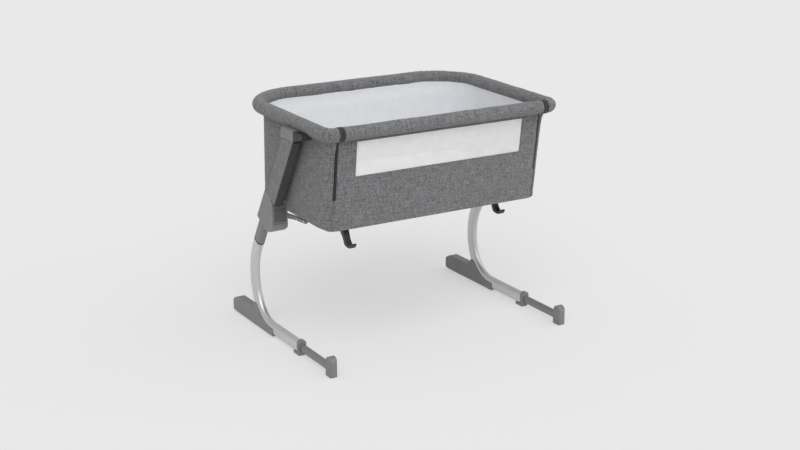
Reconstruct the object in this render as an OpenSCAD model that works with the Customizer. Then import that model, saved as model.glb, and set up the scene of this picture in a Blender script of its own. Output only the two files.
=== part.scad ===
// Bedside crib: a fabric basket on two height-adjustable legs with extending feet and a drop-down front side.
// The origin lies on the floor under the middle of the crib, +Z is up and the front is at -Y.

/* [Basket] */
// Outer length of the padded rim
rim_length = 892; // [886:1:896]
// Outer depth of the padded rim
rim_depth = 651; // [635:1:680]
// Height of the rim's top above the floor
rim_top = 790; // [785:1:800]
// How far the front rail lies below the rear one
rim_drop = 5; // [0:1:10]
// Rearward offset of the rim's middle from the feet's middle
rim_offset = 27; // [20:1:34]
// Outer diameter of the rim's padding
pad_d = 44; // [42:1:46]
// Diameter of the steel tubes inside the rim
rim_tube_d = 22; // [18:1:24]
// Radius of the rear corners along the rim's centre line
rear_corner_r = 172; // [160:1:180]
// Radius of the front corners along the rim's centre line
front_corner_r = 32; // [30:1:32]
// How far the end walls' lower edges lie inside the rim's outer side
end_inset = 36; // [35:1:37]
// How far the front and rear walls' lower edges lie inside the rim's outer side
floor_inset = 72; // [68:1:76]
// Height of the fabric's lower edge
skirt_bottom = 439; // [437:1:441]
// Thickness of the fabric walls
wall_t = 2.5; // [2:0.5:3]
// Thickness of the mattress
mattress_t = 45; // [35:1:50]

/* [Drop side] */
// Distance from the rim's outer side to each end of the front rail
rail_inset = 62; // [62:1:66]
// Height of the fold line
fold_z = 535; // [530:1:545]
// Length of the mesh window
window_length = 623; // [560:1:650]
// Height of the window's lower edge
window_low = 614; // [605:1:630]
// Height of the window's upper edge
window_high = 729; // [715:1:732]
// Width of one half of the dark band at a rail joint
band_w = 11; // [9:1:14]

/* [Legs] */
// How far the middle plane of each leg lies inside the rim's outer side
leg_inset = 0.5; // [-2:0.5:0.5]
// Lean of the upper leg from the vertical, in degrees
lean = 31; // [29:0.5:32]
// Width of the bent leg tube
tube_w = 25; // [24:0.5:26]
// Depth of the bent leg tube's flat oval
tube_h = 43; // [41:0.5:44]
// Wall of the leg tubes
tube_wall = 1.6; // [1.2:0.1:2]
// Distance from the knee's end to the upper tube's mouth
knee_gap = 25; // [22:1:28]
// Radius of the bend above the foot
foot_bend_r = 124; // [118:1:130]
// Backward lean of the tube as it leaves the foot bend, in degrees
back_lean = 27.5; // [24:0.5:29]
// Radius of the long knee bend
knee_r = 203; // [195:1:210]
// Height of the foot tube's centre above the floor
foot_z = 28; // [27:0.5:29]
// Length of the upper leg tube
upper_length = 340; // [330:1:342]
// Spacing of the height positions along the leg
height_step = 30; // [28:1:31]
// Number of height steps below the one shown
steps_below = 4; // [3:1:4]

/* [Feet] */
// Length of the whole foot when it is pulled out
foot_length = 717; // [705:1:725]
// Distance from the heel's rear end to the foot bend
heel_run = 289.5; // [284:0.5:294]
// Length of the heel boot
heel_length = 307; // [300:1:312]
// Height of the heel boot
heel_height = 62; // [58:1:66]
// Width of the plastic boots and collars
boot_w = 29; // [28.5:0.5:31]
// Length of the collar at the tube's front end
collar_length = 12; // [10:1:14]
// Depth of the toe block
toe_length = 39; // [37:1:42]
// Width of the toe block
toe_w = 24; // [23:0.5:26]
// Height of the toe block
toe_height = 66; // [62:1:70]
// Width of the sliding foot tube
slide_w = 17; // [16:0.5:18.5]
// Depth of the sliding foot tube
slide_h = 28; // [27:0.5:30]
// Travel of the sliding foot
slide_travel = 130; // [110:1:132]

/* [Hooks] */
// Distance from the middle to each bed hook
hook_x = 311; // [290:1:320]
// Width of a bed hook
hook_w = 28; // [24:1:30]
// How far the left hook is pulled out further than the right one
hook_stagger = 70; // [60:1:75]

/* [Hidden] */
$fn = 48;
run_gap = 0.1;
seat_gap = 0.05;
soft_gap = 0.3;

// The heels stand at a fixed place behind the design origin, and the whole crib is moved to its outer box
heel_y = 377.5;
toe_y = heel_y - foot_length;
middle_y = (heel_y + toe_y) / 2;
leg_x = rim_length / 2 - leg_inset;
// Leg path in the side view: y to the rear, z up
bend_y = heel_y - heel_run;
bend_z = foot_z + foot_bend_r;
bend_end = [bend_y + foot_bend_r * cos(back_lean), bend_z - foot_bend_r * sin(back_lean)];
knee_c = [bend_end[0] - knee_r * cos(back_lean), bend_end[1] + knee_r * sin(back_lean)];
knee_end = [knee_c[0] + knee_r * cos(lean), knee_c[1] + knee_r * sin(lean)];
mouth = [knee_end[0] - knee_gap * sin(lean), knee_end[1] + knee_gap * cos(lean)];
upper_w = tube_w + 2 * seat_gap + 3;
upper_h = tube_h + 2 * seat_gap + 3;
guide_in_w = upper_w + 2 * run_gap;
guide_in_h = upper_h + 2 * run_gap;
guide_w = guide_in_w + 3;
guide_h = guide_in_h + 3;
bolt_s = 140;
bolt_d = 9.6;
housing_s0 = 94;
housing_s1 = 218;
guide_s0 = 155;
spigot = 110;
travel_down = height_step * steps_below;

// Rim
floor_length = rim_length - 2 * end_inset;
floor_depth = rim_depth - 2 * floor_inset;
rail_half = rim_length / 2 - rail_inset;
rail_r = pad_d / 2;
rail_x = rim_length / 2 - rail_r;
rail_y = rim_depth / 2 - rail_r;
rim_tilt = atan(rim_drop / (2 * rail_y));
rim_mid_z = rim_top - rail_r - rim_drop / 2;
// The guide tubes end this far below the middle of the rim's tube
guide_drop = 49.8;
guide_s1 = (rim_mid_z - guide_drop - mouth[1]) / cos(lean);
front_rail_y = rim_offset - rail_y * cos(rim_tilt);
front_rail_z = rim_mid_z - rail_y * sin(rim_tilt);
band_r = rail_r + 1.5;

// Fabric walls: half length, front y, rear y and corner radii at a height
floor_mid_y = rim_offset + 2;
wall_top = rim_mid_z;
function wall_mix(z) = (z - skirt_bottom) / (wall_top - skirt_bottom);
function wall_x(z) = floor_length / 2 + (rail_x - 11 - floor_length / 2) * wall_mix(z);
function wall_front(z) = floor_mid_y - floor_depth / 2
    + (rim_offset - rail_y + 12.5 - floor_mid_y + floor_depth / 2) * wall_mix(z);
function wall_rear(z) = floor_mid_y + floor_depth / 2
    + (rim_offset + rail_y - 14.5 - floor_mid_y - floor_depth / 2) * wall_mix(z);
function front_r(z) = 50 - 4 * wall_mix(z);
function rear_r(z) = 112 + (rear_corner_r - 113) * wall_mix(z);
front_slope = (wall_front(wall_top) - wall_front(skirt_bottom)) / (wall_top - skirt_bottom);
wall_split = rail_half;
rear_split = floor_length / 2 - 190;
fold_y = wall_front(fold_z);
fold_gap = 1.4;
liner_t = 1.2;
liner_gap = 0.1;
liner_top = front_rail_z - band_r - 1;

// Frame under the floor
ring_d = 18;
ring_z = skirt_bottom + 18;
ring_x = leg_x - 49.5;
ring_front = wall_front(skirt_bottom) + 19.5;
ring_rear = wall_rear(skirt_bottom) - 20.5;
board_z = ring_z + ring_d / 2 + soft_gap;
board_t = 8;
liner_low = board_z + board_t + 0.5;
mattress_z = board_z + board_t + soft_gap;
housing_in = leg_x - 39.5;
wall_step = board_z - 2;
housing_out = leg_x + guide_w / 2 + 1.9;

// Bed hooks: the lower point of the right one and the profile of both
hook_low = [-127, 372];
hook_rail_z = ring_z - 2;

// Corner rounding of a plan or profile: each point has its own radius
function unit(v) = v / norm(v);
function corner_arc(a, b, c, r, n) =
    let (u = unit(a - b), v = unit(c - b), half = acos(u * v) / 2)
    r <= 0.01 || half > 89.5 ? [b] :
    let (run = r / tan(half), mid = b + unit(u + v) * r / sin(half))
    let (p = b + u * run - mid, q = b + v * run - mid)
    let (turn = 180 - 2 * half, way = p[0] * q[1] - p[1] * q[0] > 0 ? 1 : -1)
    [for (i = [0:n]) let (t = way * turn * i / n)
        mid + [p[0] * cos(t) - p[1] * sin(t), p[0] * sin(t) + p[1] * cos(t)]];
function rounded(pts, radii, n = 5) =
    let (m = len(pts))
    [for (i = [0:m - 1]) each corner_arc(pts[(i + m - 1) % m], pts[i], pts[(i + 1) % m], radii[i], n)];

// A point of the leg's own frame, s along the leg and t forward, as [y, z]
function leg_point(s, t) = mouth + s * [-sin(lean), cos(lean)] + t * [-cos(lean), -sin(lean)];

module placed() {
    translate([0, -middle_y, 0])
        children();
}

module side(right) {
    if (right)
        mirror([1, 0, 0])
            children();
    else
        children();
}

module flat_oval(w, h) {
    for (s = [-1, 1])
        translate([0, s * (h - w) / 2])
            circle(d = w);
    square([w, h - w], center = true);
}

// A flat oval with a wall of thickness t, or a full one where t is 0
module oval_section(w, h, t = 0) {
    difference() {
        flat_oval(w, h);
        if (t > 0)
            flat_oval(w - 2 * t, h - 2 * t);
    }
}

// A round section with a bore of radius r0, or a full one where r0 is 0
module round_section(r, r0 = 0) {
    difference() {
        circle(r = r);
        if (r0 > 0)
            circle(r = r0);
    }
}

// Children stand in the side view's plane, x as y and y as z, and are w thick about x0
module profile(w, x0 = 0) {
    translate([x0 - w / 2, 0, 0])
        rotate([90, 0, 90])
            linear_extrude(w)
                children();
}

// Flat oval tube round an arc in the side view
module arc_bar(c, r, a0, a1, w, h, t = 0) {
    translate([0, c[0], c[1]])
        rotate([90, 0, 90])
            rotate(a0)
                rotate_extrude(angle = a1 - a0, $fn = 96)
                    translate([r, 0])
                        rotate(90)
                            oval_section(w, h, t);
}

// Children stand in the leg's own frame: z along the leg, -y forward
module at_leg() {
    translate([-leg_x, mouth[0], mouth[1]])
        rotate([lean, 0, 0])
            children();
}

module leg_bar(w, h, s0, s1, t = 0) {
    at_leg()
        translate([0, 0, s0])
            linear_extrude(s1 - s0)
                oval_section(w, h, t);
}

module foot_bar(w, h, y0, y1, t = 0) {
    translate([-leg_x, y1, foot_z])
        rotate([90, 0, 0])
            linear_extrude(y1 - y0)
                oval_section(w, h, t);
}

// The foot bend and, drawn a hair slimmer so that its ends tuck into its neighbours, the knee bend
module bend_bar(w, h, knee_to, t = 0) {
    translate([-leg_x, 0, 0]) {
        arc_bar([bend_y, bend_z], foot_bend_r, 270, 360 - back_lean, w, h, t);
        arc_bar(knee_c, knee_r, -back_lean - 1, knee_to, w - 0.2, h - 0.2, t);
    }
}

module height_holes() {
    at_leg()
        for (i = [-steps_below:1])
            translate([0, 0, bolt_s + i * height_step])
                rotate([0, 90, 0])
                    cylinder(d = 10, h = upper_w);
}

// Leg pieces
module leg_tube() {
    color([0.78, 0.78, 0.79])
        difference() {
            union() {
                foot_bar(tube_w, tube_h, tube_front, bend_y, tube_wall);
                bend_bar(tube_w, tube_h, lean, tube_wall);
                leg_bar(tube_w, tube_h, -knee_gap - 3, spigot, tube_wall);
            }
            height_holes();
        }
}

module upper_tube() {
    color([0.52, 0.52, 0.53])
        difference() {
            leg_bar(upper_w, upper_h, 4, upper_length);
            leg_bar(tube_w + 2 * seat_gap, tube_h + 2 * seat_gap, 3, upper_length + 1);
            height_holes();
        }
}

module joint_ring() {
    color([0.16, 0.16, 0.17])
        difference() {
            leg_bar(upper_w, upper_h, -2, 4);
            leg_bar(tube_w + 2 * seat_gap, tube_h + 2 * seat_gap, -3, 5);
        }
}

heel_front = heel_y - heel_length;
tube_front = heel_front - 188.5;
collar_front = tube_front - 3;
boot_h = tube_h + 6;
heel_low = 3.5;

module heel() {
    inner = foot_bend_r - 3;
    color([0.45, 0.45, 0.46])
        difference() {
            union() {
                intersection() {
                    profile(boot_w, -leg_x)
                        polygon(concat(
                            rounded([
                                [bend_y, foot_z + 3],
                                [heel_front, foot_z + 3],
                                [heel_front, heel_low],
                                [heel_y - 26, heel_low],
                                [heel_y, heel_low + 5],
                                [heel_y, heel_height - 16],
                                [heel_y - 30, heel_height],
                                [bend_y + foot_bend_r + 14, heel_height],
                                [bend_y + foot_bend_r - 8, heel_height + 26]
                            ], [0, 3, 3, 18, 6, 14, 26, 16, 2]),
                            [for (a = [325:-5:270]) [bend_y + inner * cos(a), bend_z + inner * sin(a)]]
                        ));
                    translate([-leg_x - boot_w / 2, 0, heel_low])
                        rotate([90, 0, 0])
                            mirror([0, 0, 1])
                                linear_extrude(heel_y + 1)
                                    polygon(rounded([
                                        [0, 0], [boot_w, 0], [boot_w, heel_height + 30], [0, heel_height + 30]
                                    ], [4, 4, 8, 8]));
                }
            }
            foot_bar(tube_w + 2 * seat_gap, tube_h + 2 * seat_gap, heel_front - 1, bend_y);
            bend_bar(tube_w + 2 * seat_gap, tube_h + 2 * seat_gap, -18);
            for (y = pad_places())
                translate([-leg_x, y, -1])
                    cylinder(d = 16.1, h = 1 + heel_low + 2);
        }
}

function pad_places() = [heel_y - 83, heel_front + 30];

module foot_pads() {
    color([0.12, 0.12, 0.13])
        for (y = pad_places())
            translate([-leg_x, y, 0])
                cylinder(d = 16, h = heel_low + 1.9);
}

module collar() {
    color([0.4, 0.4, 0.41])
        difference() {
            union() {
                foot_bar(boot_w, boot_h + 5, collar_front, collar_front + collar_length);
                translate([-leg_x - boot_w / 2 + 3, collar_front + 3, 0])
                    cube([boot_w - 6, collar_length + 26, 9]);
            }
            foot_bar(tube_w + 2 * seat_gap, tube_h + 2 * seat_gap, tube_front, tube_front + 200);
            foot_bar(slide_w + 2 * run_gap, slide_h + 2 * run_gap, collar_front - 1, tube_front + 1);
        }
}

module slide_bush() {
    color([0.2, 0.2, 0.21])
        difference() {
            foot_bar(tube_w - 2 * tube_wall - 2 * seat_gap, tube_h - 2 * tube_wall - 2 * seat_gap,
                tube_front + 0.05, tube_front + 40);
            foot_bar(slide_w + 2 * run_gap, slide_h + 2 * run_gap, tube_front - 1, tube_front + 41);
        }
}

// Sliding foot
module foot_tube() {
    color([0.5, 0.5, 0.51])
        difference() {
            foot_bar(slide_w, slide_h, toe_y + 17, tube_front + 58);
            foot_bar(slide_w - 3, slide_h - 3, toe_y + 16, tube_front + 59);
        }
}

module toe() {
    color([0.42, 0.42, 0.43])
        difference() {
            intersection() {
                profile(toe_w, -leg_x)
                    polygon(rounded([
                        [toe_y, 0],
                        [toe_y + toe_length, 0],
                        [toe_y + toe_length, foot_z + slide_h / 2 + 6],
                        [toe_y + toe_length - 9, toe_height],
                        [toe_y, toe_height]
                    ], [7, 4, 9, 10, 21]));
                translate([-leg_x, toe_y + toe_length / 2, 0])
                    linear_extrude(toe_height)
                        polygon(rounded([
                            [-toe_w / 2, -toe_length / 2],
                            [toe_w / 2, -toe_length / 2],
                            [toe_w / 2, toe_length / 2],
                            [-toe_w / 2, toe_length / 2]
                        ], [7, 7, 2, 2]));
            }
            foot_bar(slide_w + 2 * seat_gap, slide_h + 2 * seat_gap, toe_y + 16.9, toe_y + toe_length + 1);
        }
}

// Leg housing, its lever and lock
function housing_outline(m = 0) = rounded([
    leg_point(housing_s1 + m, -guide_h / 2 - 1.8 - m),
    leg_point(housing_s0 - m, -guide_h / 2 - 3 - m),
    leg_point(housing_s0 - m, guide_h / 2 + 1),
    [98 + m, 375 - m],
    [64, 373.5 - m],
    [lever_y - m, 390 - m],
    [lever_y - m, leg_point(housing_s1, 34)[1]],
    leg_point(housing_s1 + m, 34 + m)
], [4, 3, 2, 6, 14, 14, 2, 4]);
lever_y = 42;
lever_top = 469;
lever_low = 405;
lever_x0 = leg_x + 12.5;
lever_x1 = housing_in + 6;
pivot = [lever_y + 4.5, lever_top - 7];
pivot_d = 3;

module housing_section() {
    translate([-housing_out, 400, 360])
        rotate([90, 0, 0])
            linear_extrude(500)
                polygon(rounded([
                    [0, 10], [housing_out - housing_in, 10], [housing_out - housing_in, 190], [0, 190]
                ], [6, 16, 3, 3]));
}

module lever_pocket() {
    profile(lever_x0 - lever_x1 + 1, -(lever_x0 + lever_x1) / 2)
        polygon([
            [lever_y - 20, lever_top + 1],
            [lever_y + 10, lever_top + 1],
            [lever_y + 26, lever_low + 22],
            [lever_y + 26, lever_low - 1],
            [lever_y - 20, lever_low - 1]
        ]);
}

module housing() {
    color([0.47, 0.47, 0.48])
        difference() {
            union() {
                intersection() {
                    profile(120, -leg_x)
                        polygon(housing_outline());
                    housing_section();
                }
                // Saddle that holds the frame's side bar
                translate([-housing_in - 1, 70, ring_z - 12])
                    cube([housing_in + 1 - ring_x + 8, 46, 12]);
                // Arm forward under the end panel
                profile(8, -housing_in - 4.1)
                    polygon(rounded([
                        [60, 418], [60, 436], [-20, 444], [-100, 446.5], [-100, 437.5], [-20, 432]
                    ], [1, 1, 20, 4, 4, 20]));
            }
            leg_bar(guide_in_w, guide_in_h, housing_s0 - 20, guide_s0);
            leg_bar(guide_w + 2 * seat_gap, guide_h + 2 * seat_gap, guide_s0, housing_s1 + 20);
            lever_pocket();
            translate([0, pivot[0], pivot[1]])
                rotate([0, -90, 0])
                    translate([0, 0, lever_x1 - 3])
                        cylinder(d = pivot_d + 2 * seat_gap, h = lever_x0 - lever_x1 + 5.5);
            at_leg()
                translate([guide_in_w / 2 - 1, 0, bolt_s])
                    rotate([0, 90, 0])
                        cylinder(d = bolt_d + 2 * run_gap, h = leg_x - housing_in - 3 - guide_in_w / 2 + 1);
            translate([-ring_x, 60, ring_z])
                rotate([-90, 0, 0])
                    cylinder(d = ring_d + 2 * seat_gap, h = 70);
            // Step that clears the fabric wall
            translate([-wall_x(520) - 1, 0, wall_step])
                cube([60, 300, 100]);
        }
}

module height_lever() {
    w = lever_x0 - lever_x1;
    color([0.3, 0.3, 0.31])
        difference() {
            profile(w, -(lever_x0 + lever_x1) / 2)
                polygon(rounded([
                    [lever_y, lever_top],
                    [lever_y + 8.5, lever_top],
                    [lever_y + 24, lever_low + 24],
                    [lever_y + 24, lever_low + 3],
                    [lever_y - 4, lever_low],
                    [lever_y - 4, lever_low + 9],
                    [lever_y, lever_low + 14]
                ], [2, 1, 3, 2, 3, 3, 6], 4));
            // Finger scoop
            translate([0, lever_y - 9, lever_low + 31])
                rotate([0, -90, 0])
                    translate([0, 0, lever_x1 - 1])
                        cylinder(r = 24, h = w - 4);
            translate([0, pivot[0], pivot[1]])
                rotate([0, -90, 0])
                    translate([0, 0, lever_x1 - 1])
                        cylinder(d = pivot_d + 2 * seat_gap, h = w + 2);
        }
}

module lock_bolt() {
    color([0.62, 0.62, 0.63])
        at_leg()
            translate([upper_w / 2 + 0.3, 0, bolt_s])
                rotate([0, 90, 0])
                    cylinder(d = bolt_d, h = 16);
}

module guide_tube() {
    color([0.35, 0.35, 0.36])
        difference() {
            leg_bar(guide_w, guide_h, guide_s0 + 0.1, guide_s1);
            leg_bar(guide_in_w, guide_in_h, guide_s0 - 1, guide_s1 + 1);
        }
}

cover_t = 1.2;
cover_front = 50;
cover_top = rim_top - pad_d - 30;
cover_rear = guide_h / 2 + soft_gap + cover_t;
cover_half = guide_w / 2 + soft_gap + cover_t;

module cover_section(m) {
    polygon(rounded([
        [-cover_half + m, -cover_front + m],
        [cover_half - m, -cover_front + m],
        [cover_half - m, cover_rear - m],
        [-cover_half + m, cover_rear - m]
    ], [5, 5, cover_half - m - 0.5, cover_half - m - 0.5], 8));
}

module leg_cover() {
    color([0.45, 0.45, 0.46])
        difference() {
            at_leg()
                translate([0, 0, housing_s1 + 0.3])
                    linear_extrude(330)
                        cover_section(0);
            at_leg()
                translate([0, 0, housing_s1 - 1])
                    linear_extrude(340)
                        cover_section(cover_t);
            translate([-600, -600, cover_top])
                cube([1200, 1200, 200]);
        }
}

module rim_bracket() {
    low = cover_top + 0.3;
    mid = leg_point((low - mouth[1]) / cos(lean), 0)[0];
    front = mid - 58;
    color([0.14, 0.14, 0.15])
        difference() {
            union() {
                difference() {
                    profile(2 * cover_half, -leg_x)
                        polygon(rounded([
                            [mid + 30, low],
                            [mid + 14, rim_top],
                            [front - 60, rim_top],
                            [front - 60, low + 16],
                            [front - 36, low + 12],
                            [front, low]
                        ], [3, 0, 0, 5, 5, 2]));
                    rim_shape(rail_r + soft_gap);
                    translate([-leg_x - 50, -600, rim_top - pad_d + 4])
                        cube([100, 1200, 100]);
                }
                // Neck up to the rim's steel tube
                translate([-rail_x - 7, mid - 80, low + 10])
                    cube([14, 70, rim_top - rail_r - low - 12 - rim_tube_d / 2]);
            }
            rim_shape(rim_tube_d / 2 + seat_gap);
            leg_bar(guide_w + 2 * seat_gap, guide_h + 2 * seat_gap, guide_s0, guide_s1 + 0.1);
            leg_bar(guide_in_w, guide_in_h, guide_s1 - 2, guide_s1 + 6);
        }
}

// Rim
module rim_place() {
    translate([0, rim_offset, rim_mid_z])
        rotate([rim_tilt, 0, 0])
            children();
}

// The fixed part of the rim, open at the front between the rail joints: radius r outside, r0 inside
module rim_shape(r, r0 = 0) {
    rim_place() {
        translate([rear_corner_r - rail_x, rail_y, 0])
            rotate([0, 90, 0])
                linear_extrude(2 * (rail_x - rear_corner_r))
                    round_section(r, r0);
        for (s = [-1, 1]) {
            translate([s * rail_x, rail_y - rear_corner_r, 0])
                rotate([90, 0, 0])
                    linear_extrude(2 * rail_y - rear_corner_r - front_corner_r)
                        round_section(r, r0);
            translate([s * (rail_x - rear_corner_r), rail_y - rear_corner_r, 0])
                rotate(s > 0 ? 0 : 90)
                    rotate_extrude(angle = 90, $fn = 96)
                        translate([rear_corner_r, 0])
                            round_section(r, r0);
            translate([s * (rail_x - front_corner_r), -rail_y + front_corner_r, 0])
                rotate(s > 0 ? 270 : 180)
                    rotate_extrude(angle = 90)
                        translate([front_corner_r, 0])
                            round_section(r, r0);
            translate([s * (rail_half + 0.2), -rail_y, 0])
                rotate([0, s * 90, 0])
                    linear_extrude(rail_x - front_corner_r - rail_half - 0.2)
                        round_section(r, r0);
        }
    }
}

module rim_tube() {
    color([0.4, 0.4, 0.41])
        rim_shape(rim_tube_d / 2, rim_tube_d / 2 - 1.5);
}

module rim_padding() {
    low = cover_top + 0.3;
    mid = leg_point((low - mouth[1]) / cos(lean), 0)[0];
    color([0.42, 0.42, 0.43])
        difference() {
            rim_shape(rail_r, rim_tube_d / 2 + soft_gap);
            for (s = [-1, 1])
                translate([s * rail_x - 7.3, mid - 80.3, rim_top - pad_d - 20])
                    cube([14.6, 70.6, 20 + rail_r]);
        }
}

module rim_bands() {
    color([0.13, 0.13, 0.14])
        for (s = [-1, 1])
            translate([s * (rail_half + 0.2), front_rail_y, front_rail_z])
                rotate([0, s * 90, 0])
                    difference() {
                        cylinder(r = band_r, h = band_w - 4);
                        translate([0, 0, -1])
                            cylinder(r = rail_r + seat_gap, h = band_w);
                    }
}

// Front rail and drop side
module rail_bar(r, half) {
    translate([-half, front_rail_y, front_rail_z])
        rotate([0, 90, 0])
            cylinder(r = r, h = 2 * half);
}

button_x = rail_half - 8;
button_d = 9;

module button_bores() {
    for (s = [-1, 1])
        translate([s * button_x, front_rail_y, front_rail_z - band_r - 5])
            cylinder(d = button_d + 2 * run_gap, h = band_r + 5);
}

module front_rail_tube() {
    color([0.4, 0.4, 0.41])
        difference() {
            rail_bar(rim_tube_d / 2, rail_half - 0.2);
            rail_bar(rim_tube_d / 2 - 1.5, rail_half + 1);
        }
}

module front_padding() {
    color([0.42, 0.42, 0.43])
        difference() {
            rail_bar(rail_r, rail_half - 0.2);
            rail_bar(rim_tube_d / 2 + soft_gap, rail_half + 1);
            button_bores();
        }
}

module rail_bands() {
    color([0.13, 0.13, 0.14])
        difference() {
            for (s = [-1, 1])
                translate([s * (rail_half - 0.2), front_rail_y, front_rail_z])
                    rotate([0, -s * 90, 0])
                        cylinder(r = band_r, h = band_w + 1);
            rail_bar(rail_r + seat_gap, rail_half + 1);
            button_bores();
        }
}

module latch_button() {
    color([0.25, 0.25, 0.26])
        translate([-button_x, front_rail_y, front_rail_z - band_r - 2])
            cylinder(d = button_d, h = band_r + 2 - rim_tube_d / 2 - 4);
}

// Fabric shell between two insets, from z0 to z1
function wall_points(z, m) =
    let (x = wall_x(z) - m, y0 = wall_front(z) + m, y1 = wall_rear(z) - m)
    let (fr = front_r(z) - m, rr = rear_r(z) - m)
    [for (p = rounded([[-x, y0], [x, y0], [x, y1], [-x, y1]], [fr, fr, rr, rr], 8)) [p[0], p[1], z]];

module wall_plan(z, m) {
    x = wall_x(z) - m;
    y0 = wall_front(z) + m;
    y1 = wall_rear(z) - m;
    fr = front_r(z) - m;
    rr = rear_r(z) - m;
    polygon(rounded([[-x, y0], [x, y0], [x, y1], [-x, y1]], [fr, fr, rr, rr], 8));
}

module wall_solid(z0, z1, m) {
    low = wall_points(z0, m);
    high = wall_points(z1, m);
    n = len(low);
    polyhedron(concat(low, high), concat(
        [[for (i = [0:n - 1]) i]],
        [for (i = [0:n - 1]) let (k = (i + 1) % n) each [[i, n + i, n + k], [i, n + k, k]]],
        [[for (i = [n - 1:-1:0]) n + i]]
    ));
}

module wall_shell(z0, z1, m0, m1) {
    difference() {
        wall_solid(z0, z1, m0);
        wall_solid(z0 - 2, z1 + 2, m1);
    }
}

module under_rim() {
    difference() {
        children();
        rim_shape(rail_r + soft_gap, $fn = 32);
        rail_bar(rail_r + soft_gap, rail_half + 1, $fn = 32);
        for (s = [-1, 1])
            translate([s * rail_half - band_w - 4, front_rail_y, front_rail_z])
                rotate([0, 90, 0])
                    cylinder(r = band_r + soft_gap, h = 2 * band_w + 8, $fn = 32);
        translate([-600, -600, rim_mid_z - rail_r / 2])
            cube([1200, 1200, 100]);
    }
}

module rear_panel() {
    color([0.44, 0.44, 0.45])
        under_rim()
            intersection() {
                wall_shell(skirt_bottom, wall_top, 0, wall_t);
                translate([-rear_split, 0, 0])
                    cube([2 * rear_split, 600, 900]);
            }
}

module end_panel() {
    color([0.44, 0.44, 0.45])
        under_rim()
            difference() {
                wall_shell(skirt_bottom, wall_top, 0, wall_t);
                translate([-rear_split, 0, 0])
                    cube([900, 600, 900]);
                translate([-wall_split - 0.2, -600, 0])
                    cube([1200, 601, 900]);
                intersection() {
                    profile(120, -leg_x)
                        polygon(housing_outline(2));
                    translate([-600, 0, 0])
                        cube([600, 300, wall_step + 0.4]);
                }
                // Arched lower edge round the housing
                profile(120, -leg_x)
                    polygon(rounded([
                        [-232, skirt_bottom - 20],
                        [-205, skirt_bottom + 8],
                        [-120, skirt_bottom + 10],
                        [60, skirt_bottom + 11],
                        [150, skirt_bottom + 10],
                        [190, skirt_bottom - 10]
                    ], [1, 30, 60, 20, 20, 1]));
            }
}

module front_skirt() {
    color([0.44, 0.44, 0.45])
        intersection() {
            wall_shell(skirt_bottom, fold_z - fold_gap, 0, wall_t);
            translate([-wall_split, -600, 0])
                cube([2 * wall_split, 600, 900]);
        }
}

module fold_piping() {
    color([0.4, 0.4, 0.41])
        translate([-wall_split + 2, fold_y + wall_t / 2, fold_z])
            rotate([0, 90, 0])
                cylinder(d = 2 * fold_gap - 0.4, h = 2 * wall_split - 4);
}

module window_cut(m, y_extra = 0) {
    translate([0, 0, window_low - m])
        rotate([90, 0, 0])
            translate([0, 0, 100])
                linear_extrude(400)
                    translate([-window_length / 2 - m, 0])
                        square([window_length + 2 * m, window_high - window_low + 2 * m]);
}

module drop_region(m) {
    translate([-rail_half + 2 + m, -600, fold_z + fold_gap + m])
        cube([2 * (rail_half - 2 - m), 600, 900]);
}

module drop_panel() {
    color([0.44, 0.44, 0.45])
        under_rim()
            difference() {
                intersection() {
                    wall_shell(fold_z, wall_top, 0, wall_t);
                    drop_region(0);
                }
                window_cut(0);
            }
}

module window_mesh() {
    color([0.9, 0.9, 0.88])
        difference() {
            intersection() {
                wall_shell(fold_z, wall_top, 0.7, 1.7);
                window_cut(-0.2);
            }
        }
}

module window_hem() {
    color([0.36, 0.36, 0.37])
        intersection() {
            wall_shell(fold_z, wall_top, -0.8, -0.05);
            difference() {
                window_cut(5);
                window_cut(0);
            }
        }
}

module drop_liner() {
    color([0.93, 0.93, 0.93])
        difference() {
            intersection() {
                wall_shell(fold_z, liner_top, wall_t + liner_gap, wall_t + liner_gap + liner_t);
                drop_region(2);
            }
            window_cut(0);
        }
}

module basket_liner() {
    color([0.93, 0.93, 0.93])
        for (s = [0, 1])
            side(s == 1)
                difference() {
                    wall_shell(liner_low, liner_top, wall_t + liner_gap, wall_t + liner_gap + liner_t);
                    translate([0.5 - rail_half, -600, fold_z - fold_gap])
                        cube([2 * rail_half - 1, 600, 900]);
                    // Seam between the two halves
                    translate([-0.1, -600, 0])
                        cube([600, 1200, 900]);
                }
}

// Zips at the two front corners
zip_z0 = fold_z + 8;
zip_z1 = rim_mid_z - rail_r - 6;

module zip_band(x0, w) {
    intersection() {
        wall_shell(zip_z0, zip_z1, -1.1, -0.1);
        translate([x0, -600, 0])
            cube([w, 600, 900]);
    }
}

module zip_tracks() {
    color([0.12, 0.12, 0.13])
        for (s = [-1, 1])
            zip_band(s > 0 ? rail_half + 0.4 : -rail_half - 5.4, 5);
}

module drop_zip_tracks() {
    color([0.12, 0.12, 0.13])
        for (s = [-1, 1])
            zip_band(s > 0 ? rail_half - 7.2 : -rail_half + 2.2, 5);
}

// The slider stands square on the wall's rounded corner
module zip_slider() {
    z = zip_z1 - 14;
    r = front_r(z);
    x = wall_x(z) - r;
    turn = asin((rail_half + 4.9 - x) / r);
    color([0.75, 0.75, 0.76])
        translate([-x, wall_front(z) + r, z])
            rotate(-turn)
                rotate([-atan(front_slope), 0, 0])
                    translate([-4.2, -r - 4.1, 0]) {
                        cube([8.4, 2.5, 12]);
                        translate([2, -1.4, -18])
                            cube([4.4, 1.4, 26]);
                    }
}

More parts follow.
